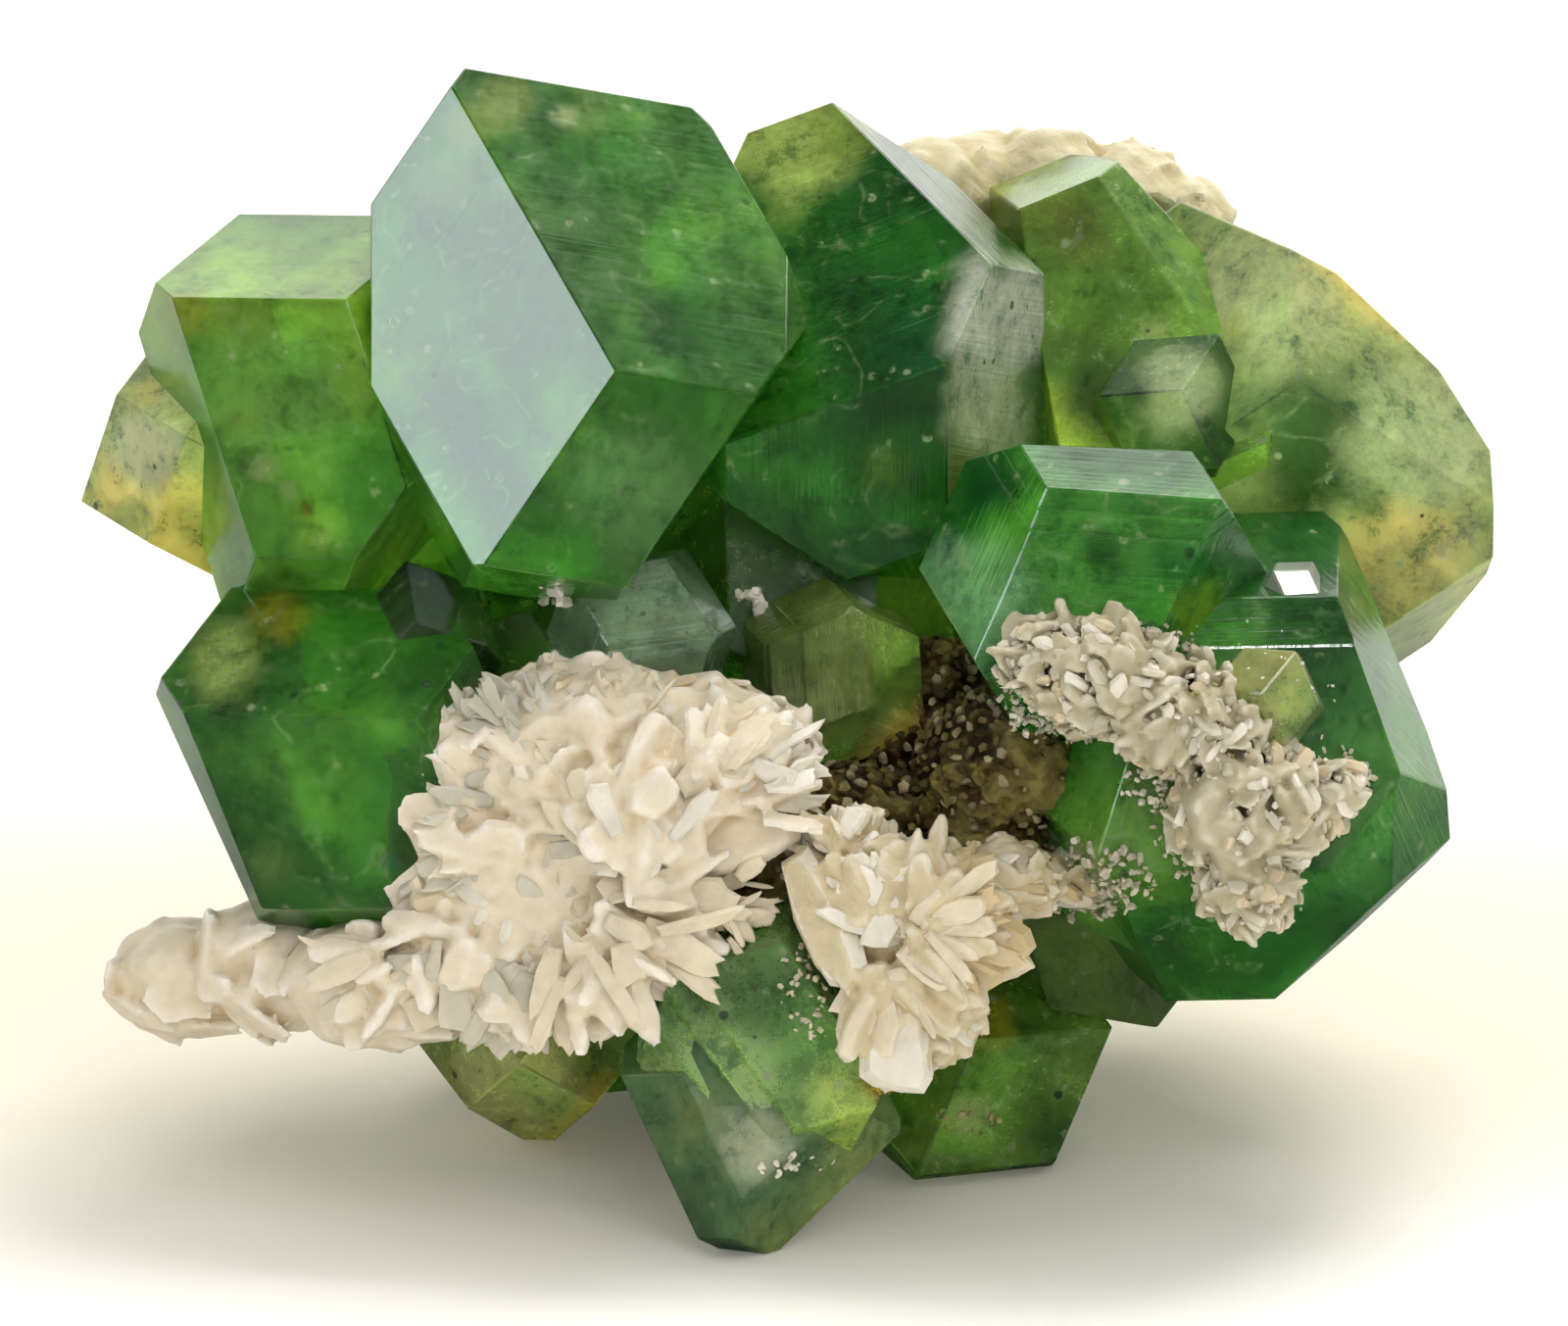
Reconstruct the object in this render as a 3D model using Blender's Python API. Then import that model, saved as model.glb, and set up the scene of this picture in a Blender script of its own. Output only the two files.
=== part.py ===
"""Andradite specimen: a cluster of green garnet crystals with white bladed mineral and brown rock.

Every garnet crystal is a rhombic dodecahedron: twelve flat faces, each square to one of the
crystal's own (1, 1, 0) directions, at its own distance from the crystal's centre. The crystals
grew together, so they are fused into one solid. The white patches are blades and lumps fused
into one solid each, and the rock fills the cavity between the crystals.
Millimetres in the tables, +X to the right, +Y away from the front, +Z up.
"""
import itertools
import math
import random
from collections import namedtuple

import bmesh
import bpy
from mathutils import Euler, Matrix, Vector

MM = 0.001
GAP = 0.3                # clear space between pieces of different minerals
BLADE_LENGTH = 1.7       # of a typical white blade
BLADE_WIDTH = 0.85
BLADE_THICKNESS = 0.32
FLOOR = 0.0              # height of the flat contacts that the specimen rests on

GREEN = (0.05, 0.22, 0.04, 1.0)
WHITE = (0.78, 0.73, 0.66, 1.0)
BROWN = (0.20, 0.15, 0.08, 1.0)

DODECAHEDRON = [
    tuple(a if i == first else b if i == second else 0 for i in range(3))
    for first, second in ((0, 1), (0, 2), (1, 2))
    for a, b in itertools.product((1, -1), repeat=2)
]

Crystal = namedtuple("Crystal", "name at turn reach faces cuts ledges")
Lump = namedtuple("Lump", "at radii fine", defaults=(False,))
Blade = namedtuple("Blade", "base tip flat width thickness")


def crystal(name, at, turn, reach, faces=None, cuts=(), ledges=()):
    """A crystal: centre, turn in degrees, reach of its faces, the faces that differ, extra facets, ledges.

    A ledge is (face, side, count, run, drop): towards its side the face goes down in growth steps.
    """
    return Crystal(name, at, turn, reach, faces or {}, cuts, ledges)


# Crystals that the front view shows
FRONT_CRYSTALS = [
    crystal("crown", at=(-3.5, -3.9, 15.0), turn=(-65, -68, -141), reach=3.15,
            faces={(1, 1, 0): 2.10, (1, 0, 1): 1.80, (1, -1, 0): 4.15, (0, -1, 1): 3.75,
                   (1, 0, -1): 4.05, (0, 1, -1): 3.70, (-1, 1, 0): 4.60, (-1, 0, 1): 3.20},
            cuts=[((0.28, 0.38, -0.88), 3.50), ((0.44, -0.62, 0.65), 3.90), ((-0.04, -0.32, 0.95), 3.50)]),
    crystal("left_block", at=(-8.3, -1.9, 13.0), turn=(-101, -36, -147), reach=2.85,
            faces={(1, 0, 1): 2.75, (1, 1, 0): 2.25, (0, 1, 1): 3.70, (0, -1, 1): 2.95, (0, -1, -1): 2.95},
            cuts=[((0.02, 0.69, -0.73), 1.40)]),
    crystal("lower_left_block", at=(-8.0, -5.0, 7.6), turn=(-115, -22, -144), reach=2.85,
            faces={(1, 0, 1): 2.30, (1, -1, 0): 2.45, (1, 1, 0): 2.00, (0, 1, 1): 2.80,
                   (0, -1, 1): 3.65, (0, -1, -1): 2.75},
            cuts=[((0.04, 0.87, -0.49), 1.20), ((0.68, -0.40, -0.61), 3.55)]),
    crystal("top_middle", at=(1.3, -1.7, 14.1), turn=(137, -33, -57), reach=3.00,
            faces={(1, 0, 1): 2.75, (1, 1, 0): 1.40, (1, -1, 0): 2.45, (1, 0, -1): 2.65,
                   (0, 1, -1): 4.65, (0, 1, 1): 3.55, (0, -1, 1): 3.95, (0, -1, -1): 3.05}),
    crystal("barrel", at=(5.3, -5.7, 11.0), turn=(105, -29, -44), reach=2.50,
            faces={(1, 0, 1): 2.30, (1, -1, 0): 2.15},
            cuts=[((0.12, 0.79, -0.60), 1.85), ((0.31, 0.78, 0.55), 2.95), ((0.22, 0.58, 0.78), 3.55),
                  ((0.10, 0.14, 0.98), 3.55), ((0.06, -0.53, 0.85), 3.10)],
            ledges=[((1, 0, 1), (1, 1, 0), 2, 0.28, 0.07)]),
    crystal("right_block", at=(7.8, -4.5, 7.6), turn=(100, -38, -35), reach=3.60,
            faces={(1, 0, 1): 3.35},
            cuts=[((0.81, 0.33, 0.48), 3.70), ((0.93, -0.26, -0.27), 3.20), ((0.63, -0.65, 0.42), 3.90),
                  ((0.0, -0.41, 0.91), 4.60), ((0.58, -0.33, -0.75), 2.70),
                  ((0.91, -0.17, -0.38), 3.10), ((0.72, 0.66, -0.21), 4.50),
                  ((0.11, -0.99, -0.02), 3.40), ((-0.18, -0.78, 0.60), 5.30)]),
    crystal("bottom_front", at=(-0.5, -7.6, 3.1), turn=(-96, -23, -130), reach=2.00,
            faces={(1, 0, 1): 1.55, (1, -1, 0): 2.45, (1, 1, 0): 1.55, (0, 1, 1): 1.80, (0, -1, 1): 2.05},
            cuts=[((0.25, 0.66, -0.71), 1.65)],
            ledges=[((1, 0, 1), (1, 1, 0), 2, 0.32, 0.14)]),
    crystal("bottom_tip", at=(-0.6, -7.1, 2.15), turn=(168, 19, -93), reach=1.95,
            faces={(0, 1, 1): 1.30, (0, -1, 1): 1.70, (1, 0, 1): 2.50, (-1, 0, 1): 2.50},
            cuts=[((0.70, -0.27, 0.66), 2.80)]),
    crystal("left_pale", at=(-9.6, -1.4, 12.2), turn=(110, -18, -102), reach=2.00,
            faces={(0, 1, 1): 1.70, (0, -1, 1): 1.95}),
    crystal("bottom_right", at=(3.1, -2.6, 1.8), turn=(121, -17, -29), reach=2.10),
    crystal("bottom_left", at=(-4.3, -1.4, 1.9), turn=(-177, 0, -96), reach=1.55),
    crystal("under_right", at=(5.6, -3.2, 4.2), turn=(153, -48, -31), reach=1.55),
    crystal("etched_green", at=(6.1, -5.4, 6.3), turn=(74, -31, -54), reach=1.50),
    crystal("dark_small", at=(-6.0, -5.1, 9.8), turn=(-61, -73, -167), reach=1.05),
    crystal("dark_wedge", at=(-4.5, -3.6, 9.3), turn=(127, -70, 0), reach=1.35),
    crystal("striated_centre", at=(0.8, -4.3, 9.0), turn=(134, -49, -70), reach=1.35,
            ledges=[((1, 0, 1), (0, 1, 1), 2, 0.25, 0.12), ((1, 0, 1), (1, -1, 0), 1, 0.2, 0.10)]),
    crystal("striated_silver", at=(-2.5, -4.5, 9.6), turn=(-71, -45, -150), reach=1.40,
            ledges=[((1, 0, 1), (0, 1, 1), 2, 0.22, 0.10)]),
    crystal("upper_right", at=(5.5, 0.8, 12.7), turn=(-74, -26, -154), reach=3.60,
            faces={(1, 0, 1): 2.35},
            cuts=[((0.27, -0.95, 0.12), 3.90), ((0.84, -0.44, -0.32), 3.80), ((0.12, -0.55, 0.83), 3.00),
                  ((-0.38, -0.83, 0.41), 2.75), ((0.83, 0.39, -0.39), 1.35)]),
    crystal("right_pale", at=(8.5, 1.8, 11.5), turn=(-132, -81, -90), reach=4.05,
            cuts=[((0.46, -0.76, 0.46), 2.75), ((-0.47, -0.46, 0.75), 4.10), ((0.80, -0.60, 0.06), 2.80),
                  ((0.65, -0.71, 0.28), 2.55), ((0.0, -0.70, 0.71), 3.40)]),
    crystal("right_dark", at=(6.6, -1.6, 12.8), turn=(131, -62, -9), reach=1.20),
]

# Crystals that close the back and the underside, and two inside that carry the front ones
BACK_CRYSTALS = [
    crystal("back_left", at=(-6.2, 1.6, 10.5), turn=(-150, 1, 120), reach=2.65),
    crystal("back_crown", at=(-2.7, 3.0, 12.6), turn=(-13, 6, 35), reach=3.15,
            ledges=[((1, 0, 1), (1, 1, 0), 1, 0.4, 0.12)]),
    crystal("back_top", at=(2.1, 3.4, 11.5), turn=(-2, 24, 40), reach=3.00),
    crystal("back_right", at=(6.6, 4.1, 8.2), turn=(-110, 8, 63), reach=3.10,
            ledges=[((-1, 0, 1), (0, 1, 1), 2, 0.3, 0.1)]),
    crystal("back_lower_right", at=(7.1, 0.8, 5.7), turn=(-66, 24, -8), reach=2.50),
    crystal("back_lower_left", at=(-6.3, -0.7, 6.4), turn=(-121, 29, 133), reach=2.60),
    crystal("back_bottom", at=(-2.7, 1.7, 3.2), turn=(-81, 31, 37), reach=2.75),
    crystal("back_middle", at=(0.0, 5.4, 7.2), turn=(-141, 9, 84), reach=3.15,
            ledges=[((0, 1, 1), (1, 1, 0), 1, 0.4, 0.12)]),
    crystal("bottom_middle", at=(-0.7, -4.3, 3.6), turn=(-35, 20, 60), reach=2.20),
    crystal("inner_middle", at=(0.3, -1.8, 9.5), turn=(20, -35, 15), reach=2.20),
    crystal("foot", at=(1.3, 0.4, 2.3), turn=(180, 45, 152), reach=2.50,
            faces={(1, 0, 1): 2.35}),
]

# Lumps under the white blades: centre and radii
FRONT_SHEAF = [
    Lump((-3.3, -6.8, 8.0), (2.5, 1.6, 1.8)),
    Lump((-1.5, -6.4, 8.1), (1.9, 1.3, 1.3)),
    Lump((-5.4, -7.0, 7.3), (1.2, 1.1, 2.0)),
    Lump((-4.3, -7.2, 5.8), (2.3, 1.6, 1.9)),
    Lump((-2.7, -7.8, 5.6), (1.5, 1.1, 1.1)),
    Lump((-6.5, -6.9, 4.3), (2.0, 1.3, 1.1)),
    Lump((-8.6, -5.6, 4.2), (1.4, 1.2, 1.2)),
    Lump((-10.2, -4.7, 3.7), (1.3, 1.1, 1.0)),
]
CENTRE_ROSETTE = [
    Lump((2.0, -7.9, 5.8), (1.7, 1.3, 1.2)),
    Lump((2.2, -8.3, 4.3), (1.2, 1.0, 1.1)),
    Lump((1.1, -7.2, 6.5), (1.0, 0.8, 0.7)),
    Lump((3.6, -7.0, 6.1), (1.0, 0.8, 0.7)),
    Lump((4.8, -6.3, 6.0), (1.0, 0.7, 0.5)),
    Lump((5.8, -6.2, 6.0), (0.8, 0.7, 0.5)),
]
RIGHT_CRUST = [
    Lump((4.4, -8.2, 10.3), (0.8, 0.7, 0.7)),
    Lump((5.4, -8.3, 10.0), (1.2, 0.9, 1.0)),
    Lump((6.5, -8.4, 9.4), (1.2, 0.9, 0.9)),
    Lump((8.1, -8.2, 9.5), (0.9, 0.9, 1.0)),
    Lump((7.3, -8.3, 9.0), (0.9, 0.8, 0.8)),
    Lump((7.8, -8.5, 7.8), (1.3, 1.0, 1.3)),
    Lump((7.8, -8.7, 6.5), (0.8, 0.8, 0.8)),
    Lump((9.1, -8.2, 8.0), (0.8, 0.8, 0.8)),
]
BACK_PATCH = [
    Lump((2.4, 3.3, 15.3), (1.1, 1.1, 1.1)),
    Lump((3.4, 4.2, 15.3), (1.2, 1.2, 1.0)),
    Lump((4.6, 4.0, 15.5), (1.1, 1.1, 1.0)),
    Lump((5.9, 4.2, 15.2), (1.1, 1.1, 1.0)),
    Lump((6.9, 4.0, 14.8), (0.8, 1.0, 0.9)),
]
ROCK = [
    Lump((4.0, -5.4, 7.7), (1.9, 1.7, 1.4), True),
    Lump((2.6, -3.5, 7.7), (1.8, 1.8, 1.7), True),
    Lump((1.1, -5.6, 6.7), (1.7, 1.3, 1.1), True),
    Lump((-0.2, -6.3, 6.0), (1.0, 1.0, 0.8), True),
    Lump((3.3, -5.9, 6.4), (1.5, 1.2, 0.8), True),
    Lump((4.1, -2.6, 6.6), (2.5, 2.2, 2.2), True),
    Lump((1.6, -1.1, 6.2), (2.7, 2.2, 2.3), True),
]

# The large blades that can be told apart: base, tip, direction its flat side looks, width, thickness
FRONT_BLADES = [
    Blade((-3.3, -8.0, 6.8), (-0.1, -8.3, 7.2), (0.0, -1.0, 0.3), 1.3, 0.45),
    Blade((-3.3, -8.1, 6.3), (-1.4, -8.7, 5.1), (0.1, -1.0, 0.3), 0.9, 0.4),
    Blade((-3.3, -8.1, 5.5), (-2.7, -8.6, 4.0), (-0.3, -1.0, 0.1), 0.8, 0.35),
    Blade((-2.6, -7.6, 8.2), (-0.6, -8.3, 8.4), (0.2, -0.9, 0.6), 1.2, 0.4),
    Blade((-4.0, -7.6, 8.4), (-3.0, -8.4, 9.6), (-0.3, -1.0, 0.2), 1.2, 0.4),
]
CENTRE_BLADES = [
    Blade((0.1, -8.3, 6.9), (1.2, -9.5, 4.8), (-0.5, -1.0, 0.2), 1.05, 0.4),
    Blade((1.6, -9.0, 4.9), (2.1, -9.6, 3.1), (0.0, -1.0, 0.2), 1.3, 0.45),
    Blade((1.4, -8.4, 5.2), (3.4, -9.1, 6.7), (-0.2, -1.0, 0.1), 1.1, 0.4),
    Blade((2.2, -8.2, 5.3), (4.1, -8.5, 5.2), (0.1, -1.0, 0.3), 1.2, 0.4),
]


def clear_scene():
    """Removes whatever objects the file opened with."""
    for obj in list(bpy.data.objects):
        bpy.data.objects.remove(obj, do_unlink=True)


def planes_of(piece, grow):
    """The crystal's faces as (normal, distance from the origin), each moved outwards by grow."""
    turn = Euler([math.radians(a) for a in piece.turn], "XYZ").to_matrix()
    centre = Vector(piece.at)
    faces = [(form, piece.faces.get(form, piece.reach)) for form in DODECAHEDRON]
    planes = []
    for direction, distance in faces + list(piece.cuts):
        normal = (turn @ Vector(direction)).normalized()
        planes.append((normal, normal.dot(centre) + distance + grow))
    return planes


def crystal_mesh(piece, grow=0.0):
    """The solid inside the crystal's planes: a corner wherever three of them meet inside the rest."""
    planes = planes_of(piece, grow)
    corners = []
    rims = [set() for _ in planes]
    for triple in itertools.combinations(range(len(planes)), 3):
        rows = Matrix([planes[i][0] for i in triple])
        if abs(rows.determinant()) < 1e-4:
            continue
        point = rows.inverted() @ Vector([planes[i][1] for i in triple])
        if any(normal.dot(point) > distance + 1e-4 for normal, distance in planes):
            continue
        known = [k for k, corner in enumerate(corners) if (corner - point).length < 1e-3]
        index = known[0] if known else len(corners)
        if not known:
            corners.append(point)
        for i in triple:
            rims[i].add(index)
    shell = bmesh.new()
    verts = [shell.verts.new(corner * MM) for corner in corners]
    for (normal, _), rim in zip(planes, rims):
        if len(rim) < 3:
            continue
        middle = sum((corners[k] for k in rim), Vector()) / len(rim)
        across = normal.orthogonal().normalized()
        up = normal.cross(across)
        spokes = {k: corners[k] - middle for k in rim}
        order = sorted(rim, key=lambda k: math.atan2(spokes[k].dot(up), spokes[k].dot(across)))
        shell.faces.new([verts[k] for k in order])
    return finished(shell, piece.name)


def lump_mesh(lump, grow=0.0):
    """A rounded lump: a coarse ball stretched to the radii, its points moved in and out by a fixed wave."""
    shell = bmesh.new()
    bmesh.ops.create_icosphere(shell, subdivisions=2 if lump.fine else 1, radius=1.0)
    phase = sum(lump.at)
    for vert in shell.verts:
        p = vert.co.copy()
        wave = 1.0 + 0.08 * math.sin(5.0 * p.x + phase)
        wave += 0.07 * math.sin(6.0 * p.y - 2.0 * phase) * math.cos(4.0 * p.z)
        vert.co = (Vector(lump.at) + Vector([p[i] * (lump.radii[i] * wave + grow) for i in range(3)])) * MM
    return finished(shell, "lump")


def blade_mesh(blade, grow=0.0):
    """A flat blade with parallel sides and a blunt point, widest at two thirds of its length."""
    along = Vector(blade.tip) - Vector(blade.base)
    length = along.length
    along.normalize()
    across = along.cross(Vector(blade.flat)).normalized()
    out = across.cross(along)
    ring = [(0.0, 0.3), (0.65, 0.5), (1.0, 0.22), (1.0, -0.22), (0.65, -0.5), (0.0, -0.3)]
    shell = bmesh.new()
    layers = []
    for level in (-0.5, 0.5):
        layer = []
        for t, side in ring:
            place = along * (t * length + (2 * t - 1) * grow)
            place += across * (side * blade.width + math.copysign(grow, side))
            place += out * level * (blade.thickness + 2 * grow)
            layer.append(shell.verts.new((Vector(blade.base) + place) * MM))
        layers.append(layer)
    low, high = layers
    count = len(ring)
    for i in range(count):
        j = (i + 1) % count
        shell.faces.new((low[i], low[j], high[j], high[i]))
    shell.faces.new(low[::-1])
    shell.faces.new(high)
    return finished(shell, "blade")


def finished(shell, name):
    """Turns the faces outwards and hands back a mesh."""
    bmesh.ops.recalc_face_normals(shell, faces=shell.faces)
    mesh = bpy.data.meshes.new(name)
    shell.to_mesh(mesh)
    shell.free()
    return mesh


def spread_blades(lumps, per_lump, facing, seed):
    """Blades that fan out of each lump's open side, a golden angle apart and tilted by chance."""
    draw = random.Random(seed)
    blades = []
    golden = math.pi * (3.0 - math.sqrt(5.0))
    for lump in lumps:
        size = sum(lump.radii) / 3.0
        number = max(3, round(per_lump * size))
        for k in range(number):
            height = 1.0 - 1.4 * (k + 0.5) / number
            swing = golden * k + lump.at[0]
            ring = math.sqrt(max(0.0, 1.0 - height * height))
            ball = Vector((ring * math.cos(swing), ring * math.sin(swing), height))
            way = Vector((0, 0, 1)).rotation_difference(Vector(facing)) @ ball
            skin = Vector([way[i] * lump.radii[i] for i in range(3)])
            tilt = Vector([draw.uniform(-1, 1) for _ in range(3)])
            lean = (way + tilt * 0.7).normalized()
            reach = BLADE_LENGTH * draw.uniform(0.5, 1.0) * min(1.0, 0.4 + 0.4 * size)
            base = Vector(lump.at) + skin * 0.8 - lean * reach * 0.5
            tip = Vector(lump.at) + skin * 0.8 + lean * reach * 0.5
            flat = lean.cross(Vector([draw.uniform(-1, 1) for _ in range(3)]))
            wide = BLADE_WIDTH * draw.uniform(0.6, 1.1) * min(1.0, 0.5 + 0.4 * size)
            thick = BLADE_THICKNESS * draw.uniform(0.8, 1.3)
            blades.append(Blade(tuple(base), tuple(tip), tuple(flat), wide, thick))
    return blades


def object_of(mesh, name):
    """An object that holds the mesh, linked to the scene."""
    obj = bpy.data.objects.new(name, mesh)
    bpy.context.scene.collection.objects.link(obj)
    return obj


def applied(target, operation, tools):
    """The target's mesh after each tool is added to it or cut from it, one after another.

    The many thin blades that cross each other need the MANIFOLD solver: EXACT drops most of a patch.
    """
    for tool in tools:
        cut = target.modifiers.new("join", "BOOLEAN")
        cut.operation = operation
        cut.solver = "MANIFOLD"
        cut.object = tool
        bpy.context.view_layer.update()
        graph = bpy.context.evaluated_depsgraph_get()
        result = bpy.data.meshes.new_from_object(target.evaluated_get(graph))
        target.modifiers.clear()
        target.data = result
    for tool in tools:
        bpy.data.objects.remove(tool, do_unlink=True)
    return target


def fused(meshes, name):
    """One object made of all the closed meshes, joined where they overlap."""
    first, *rest = [object_of(mesh, name) for mesh in meshes]
    return applied(first, "UNION", rest)


def keep_largest(obj):
    """Drops the crumbs that a cut leaves behind, so that one closed body is left."""
    shell = bmesh.new()
    shell.from_mesh(obj.data)
    left = set(shell.verts)
    islands = []
    while left:
        stack = [left.pop()]
        island = set(stack)
        while stack:
            for edge in stack.pop().link_edges:
                for vert in edge.verts:
                    if vert not in island:
                        island.add(vert)
                        stack.append(vert)
        left -= island
        islands.append(island)
    islands.sort(key=len)
    crumbs = [vert for island in islands[:-1] for vert in island]
    bmesh.ops.delete(shell, geom=crumbs, context="VERTS")
    shell.to_mesh(obj.data)
    shell.free()


def tidy_faces(obj):
    """Merges the doubled corners that joining leaves, then splits every face into triangles."""
    shell = bmesh.new()
    shell.from_mesh(obj.data)
    bmesh.ops.remove_doubles(shell, verts=shell.verts, dist=0.001 * MM)
    bmesh.ops.triangulate(shell, faces=shell.faces)
    shell.to_mesh(obj.data)
    shell.free()


def block_below_floor():
    """A block whose top is the surface that the specimen rests on."""
    shell = bmesh.new()
    bmesh.ops.create_cube(shell, size=1.0)
    for vert in shell.verts:
        vert.co = Vector((vert.co.x * 60, vert.co.y * 60, vert.co.z * 10 - 5 + FLOOR)) * MM
    return object_of(finished(shell, "floor"), "floor")


def with_ledges(piece):
    """The crystal, and for each ledge a thinner copy that reaches further to its side."""
    copies = []
    core = dict(piece.faces)
    for face, side, count, run, drop in piece.ledges:
        core[side] = piece.faces.get(side, piece.reach) - count * run
        for k in range(1, count + 1):
            steps = {form: piece.faces.get(form, piece.reach) - 0.02 * k for form in DODECAHEDRON}
            steps[side] = piece.faces.get(side, piece.reach) - (count - k) * run
            steps[face] = piece.faces.get(face, piece.reach) - k * drop
            copies.append(piece._replace(faces=steps))
    return [piece._replace(faces=core)] + copies


def garnet(grow=0.0):
    """All crystals as one solid."""
    pieces = [step for piece in FRONT_CRYSTALS + BACK_CRYSTALS for step in with_ledges(piece)]
    return fused([crystal_mesh(piece, grow) for piece in pieces], "andradite_crystals")


def white_patch(name, lumps, blades, grow=0.0):
    """A patch of the white mineral: its lumps and blades as one solid."""
    meshes = [lump_mesh(lump, grow) for lump in lumps] + [blade_mesh(blade, grow) for blade in blades]
    return fused(meshes, name)


def rock():
    """The brown rock, before its neighbours are cut from it."""
    return fused([lump_mesh(lump) for lump in ROCK], "matrix")


def paint(obj, name, colour, roughness):
    """Gives the object a plain material."""
    material = bpy.data.materials.get(name) or bpy.data.materials.new(name)
    material.use_nodes = True
    shader = material.node_tree.nodes["Principled BSDF"]
    shader.inputs["Base Color"].default_value = colour
    shader.inputs["Roughness"].default_value = roughness
    shader.inputs["Metallic"].default_value = 0.0
    obj.data.materials.clear()
    obj.data.materials.append(material)


def main():
    clear_scene()
    front = (-0.25, -0.95, 0.1)
    low = (0.3, -0.9, -0.2)
    outward = (0.1, -1.0, 0.1)
    top = (0.1, 0.1, 1.0)
    patches = {
        "stilbite_front": (FRONT_SHEAF, FRONT_BLADES + spread_blades(FRONT_SHEAF, 7, front, 3)),
        "stilbite_centre": (CENTRE_ROSETTE, CENTRE_BLADES + spread_blades(CENTRE_ROSETTE, 7, low, 5)),
        "stilbite_right": (RIGHT_CRUST, spread_blades(RIGHT_CRUST, 6, outward, 7)),
        "stilbite_back": (BACK_PATCH, spread_blades(BACK_PATCH, 6, top, 9)),
    }
    taken = []
    white = []
    for name, (lumps, blades) in patches.items():
        patch = white_patch(name, lumps, blades)
        applied(patch, "DIFFERENCE", [garnet(GAP)])
        for earlier in taken:
            applied(patch, "DIFFERENCE", [white_patch("neighbour", *patches[earlier], grow=GAP)])
        taken.append(name)
        white.append(patch)
    stone = rock()
    applied(stone, "DIFFERENCE", [garnet(GAP)])
    for name in patches:
        applied(stone, "DIFFERENCE", [white_patch("neighbour", *patches[name], grow=GAP)])
    body = garnet()
    applied(body, "DIFFERENCE", [block_below_floor()])
    for patch in white:
        applied(patch, "DIFFERENCE", [block_below_floor()])
    for obj, name, colour, roughness in (
        [(body, "garnet green", GREEN, 0.15), (stone, "brown rock", BROWN, 0.9)]
        + [(patch, "white mineral", WHITE, 0.6) for patch in white]
    ):
        tidy_faces(obj)
        keep_largest(obj)
        paint(obj, name, colour, roughness)


main()
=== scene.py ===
"""Looks of an andradite specimen: green garnet crystals, white bladed mineral and brown rock on a pale floor.

The tables are in millimetres, +X to the right, +Y away from the front, +Z up; meshes are in metres.
"""
import itertools
import math
from collections import namedtuple

import bmesh
import bpy
import numpy as np
from mathutils import Euler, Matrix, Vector


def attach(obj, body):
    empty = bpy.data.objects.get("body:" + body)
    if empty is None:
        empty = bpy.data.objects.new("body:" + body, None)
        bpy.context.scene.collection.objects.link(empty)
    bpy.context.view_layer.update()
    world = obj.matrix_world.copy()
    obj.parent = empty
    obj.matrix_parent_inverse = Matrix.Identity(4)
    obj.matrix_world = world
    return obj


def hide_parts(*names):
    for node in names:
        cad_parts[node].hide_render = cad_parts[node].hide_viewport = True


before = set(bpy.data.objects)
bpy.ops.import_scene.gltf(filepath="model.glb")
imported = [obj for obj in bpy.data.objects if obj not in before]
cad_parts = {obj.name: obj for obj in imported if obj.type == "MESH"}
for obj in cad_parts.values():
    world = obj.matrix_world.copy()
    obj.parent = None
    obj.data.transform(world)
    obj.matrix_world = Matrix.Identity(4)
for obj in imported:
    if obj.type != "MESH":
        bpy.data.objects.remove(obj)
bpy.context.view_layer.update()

MM = 0.001

# View: a long lens from the front, a little above
ELEVATION = math.radians(15.0)
LENS = 500.0
SENSOR = 36.0
FRAME_WIDTH = 26.62            # millimetres of the specimen across the picture
PHOTO_SIZE = (1600, 1353)
SCALE = FRAME_WIDTH / PHOTO_SIZE[0]
AIM = Vector((-0.02, -4.11, 9.13))
RIGHT = Vector((1.0, 0.0, 0.0))
UP = Vector((0.0, math.sin(ELEVATION), math.cos(ELEVATION)))
BACK = Vector((0.0, -math.cos(ELEVATION), math.sin(ELEVATION)))

# Garnet
EDGE_WIDTH = 0.045             # of the bright bevel along each crystal edge
BEVEL_FROM = math.radians(8)   # flatter edges get no bevel
BLANK = 24.0                   # width of the block that each crystal is cut from
THINNER = 0.02                 # each ledge is this much thinner than the one before
FINEST = 0.32                  # longest edge of the finished crystal mesh
INDEX = 1.88                   # of refraction, andradite
Crystal = namedtuple("Crystal", "name at turn reach faces cuts ledges")


def crystal(name, at, turn, reach, faces=None, cuts=(), ledges=()):
    """A crystal: centre, turn in degrees, reach of its faces, the faces that differ, extra facets, ledges.

    A ledge is (face, side, count, run, drop): towards its side the face goes down in growth steps.
    """
    return Crystal(name, at, turn, reach, faces or {}, cuts, ledges)


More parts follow.
